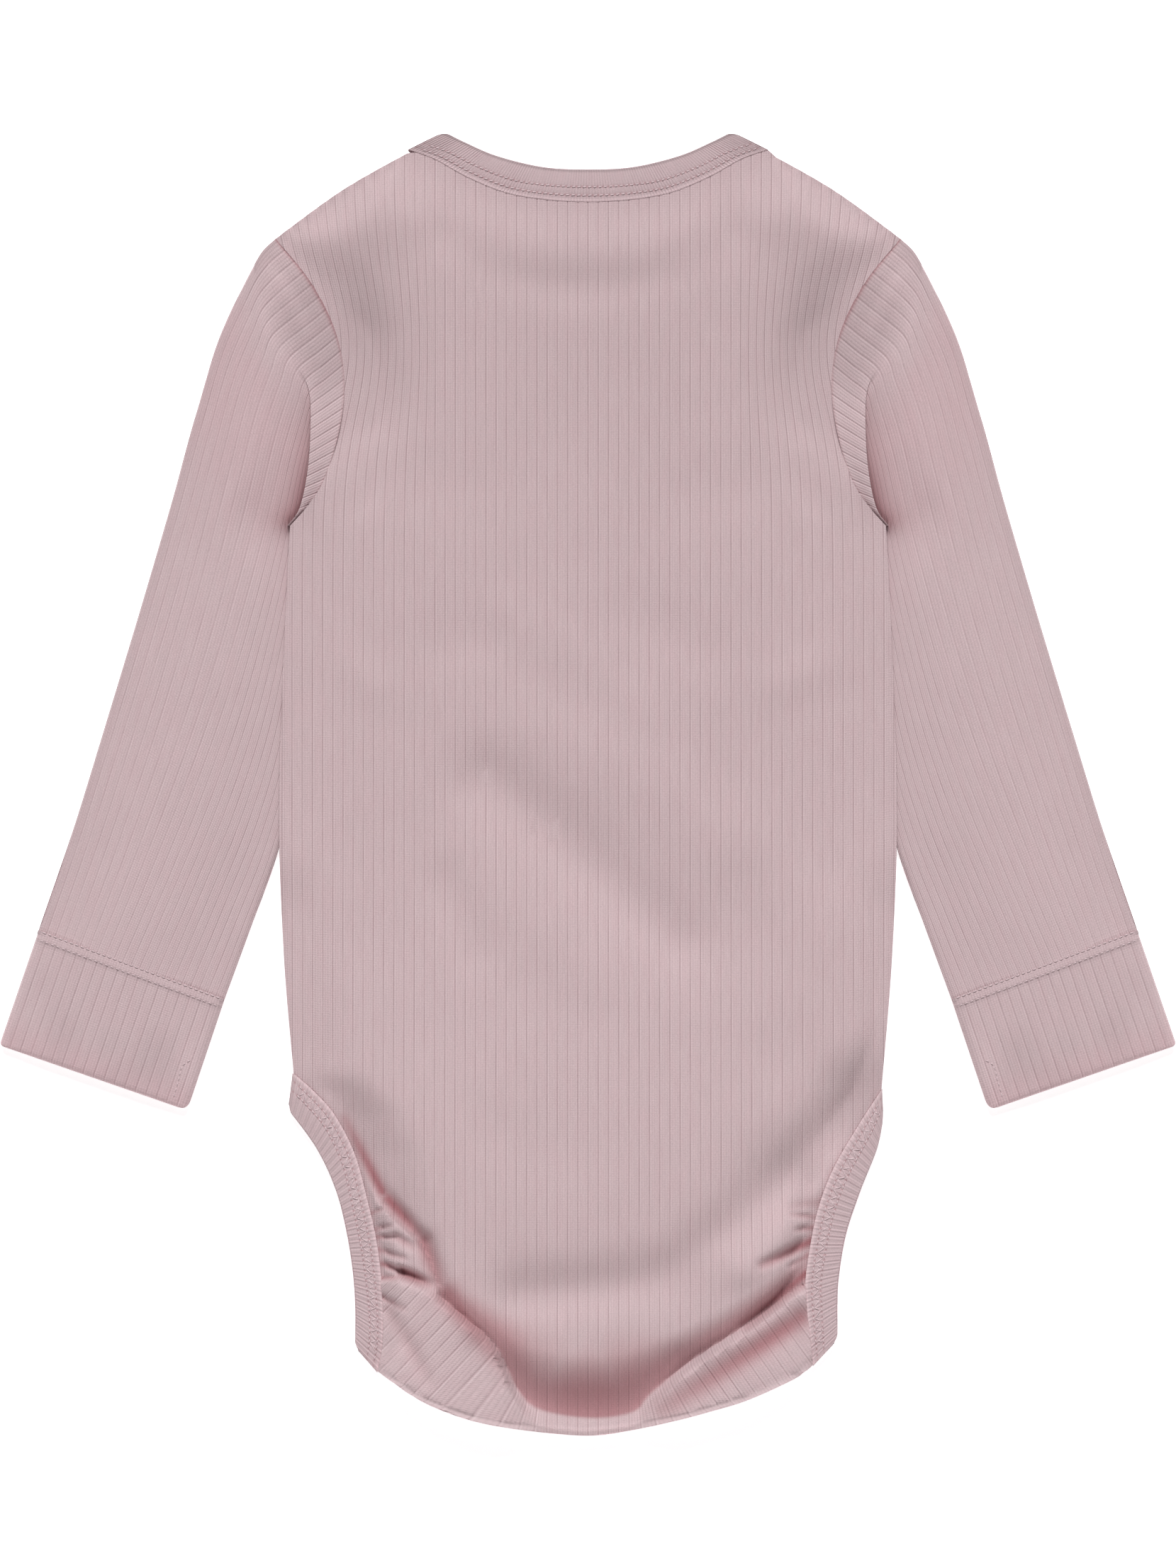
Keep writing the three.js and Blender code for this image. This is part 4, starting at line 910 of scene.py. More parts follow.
def sleeve():
    """The sleeve. Its ribs bend softly at the crest beside the armhole, and fold sharply further down."""
    armhole = along(ARMHOLE, SLEEVE_SAMPLES) + (ARMHOLE_LAP, 0)
    crest = along(SLEEVE_CREST, SLEEVE_SAMPLES)
    outer_line = along(SLEEVE_OUTER, SLEEVE_SAMPLES)
    inner_line = along(SLEEVE_INNER, SLEEVE_SAMPLES)
    width = SLEEVE_RIBS * RIB_PITCH
    shares, places = rib_shares(SLEEVE_RIBS, width)
    column = shares[:, None]
    bend = point_at(crest, np.clip(shares + 4 * CREST_LAG * shares * (1 - shares), 0, 1))

    def body_line(t):
        straight = lerp(bend, lerp(outer_line[-1], inner_line[-1], column), t)
        outer_shift = point_at(outer_line, lerp(CREST_SHARE, 1, t)) - lerp(crest[0], outer_line[-1], t)
        inner_shift = point_at(inner_line, t) - lerp(crest[-1], inner_line[-1], t)
        return straight + lerp(outer_shift, inner_shift, column)

    seam = point_at(armhole, shares)
    middle = lerp(seam, body_line(0), 0.5)
    middle = middle + (point_at(outer_line, CREST_SHARE / 2) - middle[0]) * smooth(0.3, 0, column)
    band = [seam, middle, body_line(0)]
    rows = [body_line(t) for t in SLEEVE_ROWS]
    crest_place, length = mean_length(band), mean_length(rows)
    past = join([np.linspace(-crest_place, 0, BAND_ROWS), [FOLD_STEP],
                 np.arange(NEAR_ROW_STEP, NEAR_REACH, NEAR_ROW_STEP),
                 np.arange(NEAR_REACH, length - 1, SLEEVE_ROW_STEP), [length]])
    soft = between_lines(band[:2] + rows, past + crest_place)
    sharp = np.where((past <= 0)[:, None, None],
                     lerp(seam, body_line(0), np.clip(1 + past / crest_place, 0, 1)[:, None, None]),
                     between_lines(rows, np.maximum(past, 0)))
    fold = smooth(FOLD_FROM, FOLD_FULL, shares)
    lines = lerp(soft, sharp, fold[None, :, None])
    past = past[:, None]
    x, y = lines[..., 0], lines[..., 1]
    inside = np.minimum(distance_to(outer_line, x, y), distance_to(inner_line, x, y))
    crown = SLEEVE_CROWN * smooth(0, SLEEVE_CROWN_REACH, inside)
    upper_x = level_at(turned(ARMHOLE) + turned(SHOULDER), y)
    valley = (SLEEVE_VALLEY * smooth(VALLEY_REACH, VALLEY_REACH / 2, upper_x - x)
              * smooth(UNDERARM_Y, UNDERARM_Y + VALLEY_FADE, y) * smooth(*VALLEY_FOOT, y)
              * smooth(*VALLEY_TOP, y))
    rise = BAND_RISE * fold * smooth(-crest_place, 0, past) * (past <= 0)
    off = distance_to(crest, x, y)
    under = smooth(0, FOLD_STEP, past) * smooth(FOLD_TOP_Y, FOLD_FULL_DROP_Y, y)
    drop = (crown + FOLD_SINK) * under * smooth(DROP_REACH, 2, off)
    at_seam = smooth(-crest_place + 1.1, -crest_place, past) + 0 * x
    height = SLEEVE_EDGE_HEIGHT + crown - valley + rise - drop - SEAM_DIP * at_seam
    height = height + SLEEVE_WOBBLE * wobble(x, y, 14, 5) * smooth(0, 12, inside)
    level = np.where(past <= 0, height, rounded(height, inside))
    low = smooth(FOLD_TOP_Y - 26, UNDERARM_Y + 11, y)
    # Painted shade: rose beside the fold and along the seam, darker in the valley, by the outer edge and
    # beside the fold; a painted highlight along the crest
    shade = lerp(HIGH_FOLD_SHADE, 1, low) * under * np.exp(-off / FOLD_SHADE_REACH) * smooth(*FOLD_FOOT, y)
    shade = np.maximum(shade, SEAM_SHADE * at_seam * lerp(LOW_SEAM_SHADE, 1, smooth(*SEAM_SHADE_Y, y)))
    dim = VALLEY_DIM * (1 - fold) * smooth(0.08, 0.22, shares) * smooth(1, -6, past)
    dim = dim + OUTER_DIM * smooth(4, 0, distance_to(outer_line, x, y))
    dim = dim + FOLD_DIM * low * under * np.exp(-off / 2)
    glow = bell(off / 5) * smooth(-1, 2, past) * smooth(*CREST_GLOW_FOOT, y) * smooth(*CREST_GLOW_TOP, y)
    dim = dim - CREST_GLOW * glow
    pink = SLEEVE_PINK * smooth(4, 16, past) * smooth(80, 30, past)
    tint = tint_of(shade, dim, pink)
    show = lerp(1, SLEEVE_RIB_SHOW, smooth(-2, 8, past)) + 0 * x
    tint = join([tint, show[..., None]], axis=2)
    return flat_tube("sleeve_rib_left", lines, level, places, width, SLEEVE_WALL, tint, 1 - show)


def cuff_level(x, y, below):
    """How high a cuff's cloth lies, and higher in the seam's raised band."""
    sides = [[CUFF_TOP[0], CUFF_CORNERS[0]], [CUFF_TOP[1], CUFF_CORNERS[1]]]
    inside = np.minimum(distance_to(sides[0], x, y), distance_to(sides[1], x, y))
    band = CUFF_SEAM_RISE * smooth(0, 0.5, below) * smooth(CUFF_SEAM_BAND + 0.9, CUFF_SEAM_BAND, below)
    level = CUFF_EDGE_HEIGHT + CUFF_CROWN * smooth(0, CUFF_CROWN_REACH, inside) + band
    level = level + CUFF_WOBBLE * wobble(x, y, 9, 8)
    near_end = np.clip(distance_to(CUFF_CORNERS, x, y) / EDGE_ROUND, 0, 1)
    folded = CUFF_END_LEVEL + (level - CUFF_END_LEVEL) * np.sqrt(1 - (1 - near_end) ** 2)
    return rounded(folded, inside)


def cuff():
    """The cuff, with its band over the end of the sleeve and rounded corners at its folded edge."""
    end_outer, bottom_outer, bottom_inner, end_inner = (np.array(p, float) for p in CUFF_END)
    corner_outer, corner_inner = (np.array(p, float) for p in CUFF_CORNERS)
    top_outer, top_inner = (np.array(p, float) for p in CUFF_TOP)
    width = CUFF_RIBS * RIB_PITCH
    shares, places = rib_shares(CUFF_RIBS, width)
    length = length_of(end_outer - top_outer)
    lap = CUFF_SEAM_LAP / length
    rows, below = [], []
    for t in join([np.linspace(-lap, lap, 9), np.linspace(lap, 1, 22)[1:]]):
        start, finish = lerp(top_outer, end_outer, t), lerp(top_inner, end_inner, t)
        rows.append(lerp(start, finish, shares[:, None]))
        below.append(t * length + CUFF_SEAM_LAP)
    full = length_of(corner_inner - corner_outer)
    for t in (0.2, 0.4, 0.6, 0.8, 0.93, 1):
        start, finish = lerp(end_outer, corner_outer, t), lerp(end_inner, corner_inner, t)
        turned_in = (1 - math.sqrt(1 - t)) ** 2
        first = turned_in * length_of(bottom_outer - corner_outer) / full
        last = 1 - turned_in * length_of(bottom_inner - corner_inner) / full
        rows.append(lerp(start, finish, np.clip(shares, first, last)[:, None]))
        below.append(length + CUFF_SEAM_LAP + 2.5 * t)
    lines = np.array(rows)
    x, y = lines[..., 0], lines[..., 1]
    below = np.array(below)[:, None]
    # Painted shade along the stitch rows and in soft patches, and painted highlights on the seam band and at
    # the folded end
    rims = bell((below - 0.1) / 0.35) + bell((below - CUFF_SEAM_BAND - 0.5) / 0.35)
    band = smooth(-0.1, 0.2, below) * smooth(CUFF_SEAM_BAND + 0.7, CUFF_SEAM_BAND + 0.4, below)
    to_end = distance_to(CUFF_CORNERS, x, y)
    dim = (patches(CUFF_SHADES, x, y) + CUFF_RIM_DIM * rims - CUFF_BAND_GLOW * band
           - CUFF_END_GLOW * smooth(2.6, 0.4, to_end))
    tint = tint_of(np.zeros(x.shape), dim, CUFF_END_PINK * smooth(14, 2, to_end))
    tint = join([tint, SLEEVE_RIB_SHOW * (1 - band + 0 * x)[..., None]], axis=2)
    return flat_tube("cuff_rib_left", lines, cuff_level(x, y, below), places, width, CUFF_WALL, tint, band)


# Bindings: doubled strips round the openings, flattened so that the back strip lies on the front strip
def strip(seam_curve, edge_curve, step):
    count = math.ceil(steps_of(np.array(seam_curve, float))[-1] / step)
    seam, edge = along(seam_curve, count), along(edge_curve, count)
    return seam, edge, steps_of(seam)


def binding(name, back_seam, back_edge, front_seam, front_edge, stitch_rows, pitch_at, lift, edge_dim):
    """A binding as one closed loop, with a function that finds points on its outer face, and its length."""
    seam, edge, way = strip(back_seam, back_edge, BINDING_STEP)
    count = len(seam)
    corner = np.clip(1 - np.minimum(way, way[-1] - way) / BINDING_CORNER, 0, 1)[:, None]
    inward = (seam - edge) / length_of(edge - seam)[:, None]
    edge = edge + inward * BINDING_CORNER * (1 - np.sqrt(1 - corner**2))
    widths = length_of(edge - seam)
    near_fold = np.clip(np.minimum(np.arange(count), count - 1 - np.arange(count)) / FOLD_SECTIONS, 0, 1)
    level = LAYER_TOP + lift(seam[:, 1]) * near_fold
    phase = join([[0], np.cumsum(np.diff(way) / pitch_at(seam[1:, 1]))])
    phase = phase + sum(sway * np.sin(way / reach + start) for sway, reach, start in WALE_SWAY)
    trough = 0.5 - 0.5 * np.cos(math.tau * phase)
    waves = -BINDING_RIB_DEPTH * trough

    def top_height(share):
        off = share * widths
        flat = lerp(level, np.full(count, float(LAYER_TOP)), share) + BINDING_WALL
        crown = 4 * BINDING_CROWN * share * (1 - share)
        channels = sum(bell((off - row) / CHANNEL_HALF) for row in stitch_rows)
        ease = smooth(0, 0.06, share) * smooth(1, 0.9, share)
        return flat + crown - CHANNEL_DEPTH * channels + waves * ease * (1 - 0.5 * np.clip(channels, 0, 1))

    def along_back(share, height):
        return join([lerp(seam, edge, share), np.broadcast_to(height, count)[:, None]], axis=1)

    gap = SEAM_GAP / widths.mean()
    inner = [(gap, level), (0.5, level), (0.95, level + 0.25)]
    turn = [(0.985, level + 0.5), (1, level + BINDING_ROUND), (0.985, LAYER_TOP + 1.35)]
    top_shares = join([[0.965, 0.94], np.linspace(0.9, 0.08, 24), [0.055, 0.035]])
    outer = [(share, top_height(share)) for share in top_shares]
    upper = level + BINDING_WALL
    heel = [(-0.2 * gap, top_height(0.04) - 0.04), (-0.7 * gap, upper - 0.16), (-0.6 * gap, upper - 0.28),
            (0.3 * gap, upper - 0.5), (0.3 * gap, level + 0.5)]
    back = np.stack([along_back(share, height) for share, height in inner + turn + outer + heel], axis=1)

    front_start, front_end, _ = strip(front_seam, front_edge, 6)
    zero = np.zeros(len(front_start))

    def along_front(share, height):
        return join([lerp(front_start, front_end, share), (zero + height)[:, None]], axis=1)

    front_plan = ([(gap, FRONT_WALL), (0.5, FRONT_WALL), (0.95, FRONT_WALL - 0.1)]
                  + [(0.985, FRONT_WALL - 0.3), (1, FRONT_WALL / 2), (0.985, 0.2)]
                  + [(share, 0) for share in top_shares]
                  + [(share * gap, height) for share, height in FRONT_HEEL])
    front = np.stack([along_front(share, height) for share, height in front_plan], axis=1)[::-1]

    def turnover(first, second, outward):
        shares = (0.2, 0.5, 0.8)
        bulge = np.array([*outward, 0])
        return np.stack([lerp(first, second, share) + bulge * 4 * share * (1 - share) for share in shares])

    def way_out(line):
        step_out = line[0, :2] - line[4, :2]
        return FOLD_BULGE * step_out / length_of(step_out)

    end_out, start_out = way_out(seam[::-1]), way_out(seam)
    sections = join([back, turnover(back[-1], front[0], end_out), front,
                     turnover(front[-1], back[0], start_out)])
    # Painted shade in the needle holes and the rib troughs, a painted highlight on the lip by the seam, and
    # darker towards the top edge and the ends
    off = length_of(back[..., :2] - seam[:, None])
    hole = np.abs((way / STITCH_PITCH) % 1 - 0.5) * STITCH_PITCH
    holes = sum(bell((off - row) / HOLE_HALF) for row in stitch_rows)
    holes = holes * bell(hole / HOLE_HALF)[:, None] * (back[..., 2] > LAYER_TOP + 1)
    to_edge = off / widths[:, None]
    to_end = np.minimum(way, way[-1] - way)[:, None]
    dim = WAVE_DIM * trough[:, None] - LIP_GLOW * smooth(1.1, 0.5, off)
    dim = dim + edge_dim * (smooth(0.86, 0.97, to_edge) + CORNER_DIM * smooth(CORNER_REACH, 0, to_end))
    tint = np.ones((*sections.shape[:2], 3))
    tint[:count] = tint_of(HOLE_SHADE * holes, dim)
    rows, columns = sections.shape[:2]
    closed = join([sections, sections[:1]])
    ids = np.array(grid_faces(rows + 1, columns, 0, True)) % (rows * columns)
    lengths = steps_of(closed[:, columns // 2])[:-1]
    round_places = np.linspace(0, 2.2 * widths.mean(), columns)
    piece = body(name, sections.reshape(-1, 3), ids.tolist(), cloth_grid(lengths, round_places))
    soften(piece, 60)
    set_tint(piece, tint.reshape(-1, 3))

    def face_point(distance, way_share):
        """Points on the outer face, a distance in from the seam, at shares of the way along."""
        place = way_share * (count - 1)
        low = np.clip(place.astype(int), 0, count - 2)
        share = distance / widths[low]
        spot = lerp(lerp(seam[low], edge[low], share[:, None]),
                    lerp(seam[low + 1], edge[low + 1], share[:, None]), (place - low)[:, None])
        height = np.array([top_height(s)[k] for s, k in zip(share, low)])
        return join([spot, height[:, None]], axis=1)

    return piece, face_point, way[-1]


# Thread
def stitch(start, end, radius, rings=5, sides=6):
    """One stitch as a small capsule between two points, a little proud in its middle."""
    start, end = np.array(start, float), np.array(end, float)
    way = end - start
    length = length_of(way)
    way = way / length
    side = np.cross(way, (0, 0, 1))
    side = side / length_of(side)
    up = np.cross(side, way)
    shares = np.linspace(0, 1, rings)
    spread = np.sqrt(np.clip(1 - (2 * shares - 1) ** 4, 0.06, 1))
    angles = np.arange(sides) * math.tau / sides
    circle = np.cos(angles)[:, None] * side + np.sin(angles)[:, None] * up
    lift = 0.5 * radius * (1 - (2 * shares - 1) ** 2)
    centres = start + way * length * shares[:, None] + up * lift[:, None]
    points = centres[:, None] + circle[None] * radius * spread[:, None, None]
    faces = grid_faces(rings, sides, 0, True)
    faces = faces + [list(range(sides)), list(range(rings * sides - 1, (rings - 1) * sides - 1, -1))]
    return points.reshape(-1, 3), faces


def thread_piece(name, spans, radius=THREAD_RADIUS):
    """All the stitches between pairs of points, as one mesh."""
    points, faces, cloth = [], [], []
    for start, end in spans:
        base = len(points)
        spots, sides = stitch(start, end, radius)
        points.extend(spots)
        faces.extend([[base + v for v in face] for face in sides])
        cloth.extend(np.linspace((0, 0), (1, STITCH_LENGTH), len(spots)))
    return body(name, points, faces, cloth)


def rows_of_stitches(face_point, rows, length):
    return [span for row in rows for span in row_of_stitches(face_point, row, length)]


def row_of_stitches(face_point, distance, length, lean=0.12, raised=(0, 0, 0.05)):
    """Pairs of points for a row of stitches on a binding's face, with the holes between them."""
    starts = np.arange(1, int(length / STITCH_PITCH) - 1) * STITCH_PITCH
    a = face_point(np.full(len(starts), distance - lean), (starts + 0.5 * STITCH_PITCH + 0.25) / length)
    b = face_point(np.full(len(starts), distance + lean), (starts + 1.5 * STITCH_PITCH - 0.25) / length)
    return list(zip(a + raised, b + raised))


def zigzag(face_point, rows, length, raised=(0, 0, 0.02)):
    """Pairs of points for the cover thread that runs to and fro between two rows of stitches."""
    starts = np.arange(2, int(length / STITCH_PITCH) - 2) * STITCH_PITCH
    near, far = rows[0] + 0.5, rows[1] - 0.5
    a = face_point(np.where(np.arange(len(starts)) % 2, near, far), starts / length)
    b = face_point(np.where(np.arange(len(starts)) % 2, far, near), (starts + STITCH_PITCH) / length)
    return list(zip(a + raised, b + raised))


def stitches_along(line, level, pitch=STITCH_PITCH):
    """Pairs of points for stitches along a line on cloth whose height is known from place."""
    spots = along(line, math.ceil(steps_of(np.array(line, float))[-1] / pitch))
    raised = join([spots, (level(spots[:, 0], spots[:, 1]) + 0.02)[:, None]], axis=1)
    gap = 0.5 * (1 - STITCH_LENGTH / STITCH_PITCH)
    return [(lerp(a, b, gap), lerp(a, b, 1 - gap)) for a, b in zip(raised, raised[1:])]


# Materials
def node(tree, kind, inputs=(), **settings):
    """A new shader node. Inputs are pairs of a socket and a value or another node's output."""
    made = tree.nodes.new(kind)
    for name, value in settings.items():
        setattr(made, name, value)
    for socket, value in inputs:
        if isinstance(value, bpy.types.NodeSocket):
            tree.links.new(value, made.inputs[socket])
        else:
            made.inputs[socket].default_value = value
    return made


def calc(tree, operation, *values):
    return node(tree, "ShaderNodeMath", enumerate(values), operation=operation).outputs[0]


def times(tree, a, b):
    return calc(tree, "MULTIPLY", a, b)


def plus(tree, a, b):
    return calc(tree, "ADD", a, b)


def ramp(tree, value, low, high, at_low=0.0, at_high=1.0):
    """A value eased from one range to another."""
    inputs = [(0, value), (1, low), (2, high), (3, at_low), (4, at_high)]
    return node(tree, "ShaderNodeMapRange", inputs, interpolation_type="SMOOTHSTEP").outputs[0]


def blend(tree, share, a, b, mode="MIX"):
    made = node(tree, "ShaderNodeMix", [(0, share), (6, a), (7, b)], data_type="RGBA", blend_type=mode)
    return made.outputs[2]


def scaled(tree, across, length, across_scale, length_scale):
    """A texture place from the cloth places, each with its own scale."""
    x, y = times(tree, across, across_scale), times(tree, length, length_scale)
    return node(tree, "ShaderNodeCombineXYZ", [(0, x), (1, y)]).outputs[0]


def noise(tree, place, scale, detail=2.0):
    inputs = [("Vector", place), ("Scale", scale), ("Detail", detail)]
    return node(tree, "ShaderNodeTexNoise", inputs).outputs[0]


def new_material(name, settings):
    """A material whose surface has the given settings, with its node tree and its surface."""
    material = bpy.data.materials.new(name)
    material.use_nodes = True
    surface = material.node_tree.nodes["Principled BSDF"]
    for socket, value in settings.items():
        surface.inputs[socket].default_value = value
    return material, material.node_tree, surface


def cloth_places(tree):
    """A point's cloth place, and its parts across and along the cloth."""
    uv = node(tree, "ShaderNodeUVMap", uv_map="cloth").outputs[0]
    across, length, _ = node(tree, "ShaderNodeSeparateXYZ", [(0, uv)]).outputs
    return uv, across, length


def relief_of(tree, height, strength, depth):
    inputs = [("Height", height), ("Strength", strength), ("Distance", depth * MM)]
    return node(tree, "ShaderNodeBump", inputs).outputs[0]


def shaded(tree, colour, tone):
    return node(tree, "ShaderNodeHueSaturation", [("Color", colour), ("Value", tone)]).outputs[0]


def cloth_material(name, colour, groove_shade, wale_pitch, wale_tone, bump_depth):
    """Cotton rib: wales and courses as relief, heathered yarn, painted shade in the grooves with a painted
    highlight beside them, and the points' tint of painted shade, rose in creases, and painted highlights.
    """
    material, tree, surface = new_material(name, {
        "Roughness": 0.92, "Specular IOR Level": 0.2, "Sheen Weight": 0.25, "Sheen Roughness": 0.55,
        "Sheen Tint": (1, 0.92, 0.93, 1)})
    uv, across, length = cloth_places(tree)

    wale = calc(tree, "ABSOLUTE", calc(tree, "SINE", times(tree, across, math.pi / wale_pitch)))
    sway = times(tree, wale, 1.6)
    course = calc(tree, "SINE", plus(tree, times(tree, length, math.tau / 0.8), sway))
    fuzz = noise(tree, uv, 2.6, 3.0)
    relief = plus(tree, plus(tree, wale, times(tree, course, 0.22)), times(tree, fuzz, 0.9))

    streaks = noise(tree, scaled(tree, across, length, 0.9, 0.1), 1.0, 4.0)
    specks = noise(tree, scaled(tree, across, length, 1.0, 1.6), 1.5, 1.0)
    clouds = noise(tree, uv, 0.03, 2.0)
    flecks = noise(tree, scaled(tree, across, length, 0.8, 2.2), 0.9, 2.0)
    tone = ramp(tree, flecks, 0.70, 0.78, 1.0, 1.05)
    for part, middle, amount in ((streaks, 0.5, 0.13), (clouds, 0.5, 0.08), (specks, 0.5, 0.3),
                                 (wale, 0.64, wale_tone)):
        tone = plus(tree, tone, times(tree, calc(tree, "SUBTRACT", part, middle), amount))
    pinker = tuple(v * k for v, k in zip(colour, (1, 0.982, 0.986, 1)))
    yarn_mix = ramp(tree, noise(tree, scaled(tree, across, length, 0.5, 0.13), 0.7, 3.0), 0.42, 0.62)
    shown = blend(tree, yarn_mix, shaded(tree, colour, tone), shaded(tree, pinker, tone))

    tint = node(tree, "ShaderNodeAttribute", attribute_name="tint").outputs
    if groove_shade:
        # Painted shade in the grooves between ribs, uneven along them
        off = calc(tree, "PINGPONG", across, RIB_PITCH / 2)
        uneven = noise(tree, scaled(tree, across, length, 0.28, 0.04), 1.0, 2.0)
        uneven = times(tree, ramp(tree, uneven, 0.35, 0.65, 0.2, 1.0), tint["Alpha"])
        groove = times(tree, ramp(tree, off, 0.06, 0.24, groove_shade, 0.0), uneven)
        shown = blend(tree, groove, shown, tuple(v * k for v, k in zip(colour, (0.55, 0.45, 0.47, 1))))
        # A painted highlight on the rib's side beside each groove
        place = calc(tree, "FLOORED_MODULO", across, RIB_PITCH)
        line = times(tree, ramp(tree, place, 0.22, 0.34), ramp(tree, place, 0.64, 0.46))
        line = times(tree, line, times(tree, uneven, 0.22))
        shown = blend(tree, line, shown, (0.86, 0.74, 0.76, 1))
    # The points' tint multiplies in their painted shade and painted highlights
    tree.links.new(blend(tree, 1.0, shown, tint["Color"], "MULTIPLY"), surface.inputs["Base Color"])
    tree.links.new(relief_of(tree, relief, 0.55, bump_depth), surface.inputs["Normal"])
    return material


def thread_material():
    """Spun thread with a slight sheen and a fine twist."""
    material, tree, surface = new_material("thread", {"Roughness": 0.6})
    _, across, length = cloth_places(tree)
    twist = calc(tree, "SINE", plus(tree, times(tree, length, 14.0), times(tree, across, 6.0)))
    tone = ramp(tree, twist, -1.0, 1.0, 0.94, 1.04)
    tree.links.new(shaded(tree, THREAD_ROSE, tone), surface.inputs["Base Color"])
    tree.links.new(relief_of(tree, twist, 0.4, 0.05), surface.inputs["Normal"])
    return material


def stud_material():
    """Smooth dyed resin with faint moulding marks."""
    material, tree, surface = new_material("stud", {"Roughness": 0.32})
    place = node(tree, "ShaderNodeTexCoord").outputs["Object"]
    marks = noise(tree, place, 900.0, 2.0)
    tone = ramp(tree, marks, 0.3, 0.7, 0.95, 1.05)
    tree.links.new(shaded(tree, STUD_ROSE, tone), surface.inputs["Base Color"])
    return material


# The hidden front and its press studs
def circle_of(x, y, radius):
    angles = np.arange(STUD_SIDES) * math.tau / STUD_SIDES
    return [(x + radius * math.cos(a), y + radius * math.sin(a)) for a in angles]


def front_panel():
    def inset(points, dx, dy):
        return np.array(points, float) + (dx, dy)

    inner = [p for p in inset(traced(SLEEVE_INNER, 8), 2 * SEAM_GAP, 0)
             if SLEEVE_OUT_Y / 2 < p[1] < UNDERARM_Y - 4]
    side = [p for p in inset(traced(LEFT_SIDE, 8), FRONT_HIDES, 0) if p[1] < SLEEVE_OUT_Y]
    half = join([inset(traced(SHOULDER, 8), FRONT_HIDES, -FRONT_HIDES),
                 inset(traced(ARMHOLE, 8), SEAM_GAP, -SEAM_GAP)[1:], inner, side])
    neck = inset(traced(both_sides(FRONT_NECK_SEAM), 8), 0, -4 * SEAM_GAP)
    outline = join([
        neck[::-1], half, inset(traced(LEFT_LEG_SEAM, 8), 2 * SEAM_GAP, 0)[1:],
        inset(traced(BOTTOM, 8), 0, FRONT_HIDES)[1:-1],
        inset(traced(RIGHT_LEG_SEAM, 8), -2 * SEAM_GAP, 0)[::-1][:-1], (half * (-1, 1))[::-1]])
    piece = prism("front_rib", outline, 0, FRONT_WALL)
    for x, y in stud_places():
        ring = circle_of(x, y, STUD_RADIUS + SEAM_GAP)
        cut(piece, prism("recess", ring, -1, STUD_THICKNESS + SEAM_GAP / 2), "DIFFERENCE")
    soften(piece)
    set_tint(piece, np.ones((len(piece.data.vertices), 3)))
    return piece


def stud_places():
    return [(n * STUD_SPACING, STUD_ROW_Y + STUD_ROW_RISE * abs(n)) for n in (-1, 0, 1)]


def press_stud(name, x, y):
    """A domed stud cap with a rolled rim and a dimple, facing down."""
    rings = [(1.3, 0.25), (1.6, 0.2), (1.9, 0.06), (2.3, 0), (4.1, 0), (4.4, 0.08), (4.55, 0.22),
             (STUD_RADIUS, 0.38), (4.5, 0.56), (4.2, STUD_THICKNESS)]
    points = [(*spot, z) for r, z in rings for spot in circle_of(x, y, r)]
    faces = grid_faces(len(rings), STUD_SIDES, 0, True)
    first = list(range(STUD_SIDES))
    last = list(range(len(points) - STUD_SIDES, len(points)))[::-1]
    piece = body(name, points, [*faces, first, last], [(p[0], p[1]) for p in points])
    soften(piece, 40)
    return piece


# The garment
jersey = cloth_material("rib jersey", ROSE, groove_shade=0.36, wale_pitch=0.88, wale_tone=0.06,
                        bump_depth=0.16)
trim = cloth_material("rib binding", BINDING_ROSE, groove_shade=0, wale_pitch=NECK_RIB_PITCH,
                      wale_tone=0.1, bump_depth=0.14)
thread = thread_material()
resin = stud_material()


def finish_piece(piece, material, node_name=None):
    piece.data.materials.clear()
    piece.data.materials.append(material)
    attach(piece, "root")
    if node_name:
        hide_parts(node_name)
    return piece


back = finish_piece(back_panel(), jersey, "back_panel")
front = finish_piece(front_panel(), jersey, "front_panel")
left_sleeve = sleeve()
right_sleeve = mirror_of(left_sleeve, "sleeve_rib_right")
left_cuff = cuff()
right_cuff = mirror_of(left_cuff, "cuff_rib_right")
for piece, node_name in ((left_sleeve, "sleeve_left"), (right_sleeve, "sleeve_right"),
                         (left_cuff, "cuff_left"), (right_cuff, "cuff_right")):
    finish_piece(piece, jersey, node_name)

neck, neck_face, neck_length = binding(
    "neck_band", both_sides(NECK_SEAM), both_sides(NECK_EDGE), both_sides(FRONT_NECK_SEAM),
    both_sides(FRONT_NECK_EDGE), NECK_STITCH_ROWS, lambda y: np.full(np.shape(y), NECK_RIB_PITCH),
    lambda y: np.zeros(np.shape(y)), NECK_EDGE_DIM)
finish_piece(neck, trim, "neck_binding")


def leg_pitch(y):
    return lerp(LEG_RIB_PITCH, LEG_TIGHT_PITCH, smooth(-128, -165, y))


def leg_lift(y):
    return LEG_LIFT * smooth(-120, -150, y) * smooth(-203, -190, y)


for side, seam, edge in (("left", LEFT_LEG_SEAM, LEFT_LEG_EDGE), ("right", RIGHT_LEG_SEAM, RIGHT_LEG_EDGE)):
    hidden = [(x - FRONT_HIDES * np.sign(seam[0][0]), y) for x, y in edge]
    leg, leg_face, leg_length = binding(f"leg_band_{side}", seam, edge, seam, hidden, LEG_STITCH_ROWS,
                                        leg_pitch, leg_lift, 0)
    finish_piece(leg, trim, f"leg_binding_{side}")
    spans = rows_of_stitches(leg_face, LEG_STITCH_ROWS, leg_length)
    spans += zigzag(leg_face, LEG_STITCH_ROWS, leg_length)
    threads = finish_piece(thread_piece(f"leg_stitches_{side}", spans), thread)

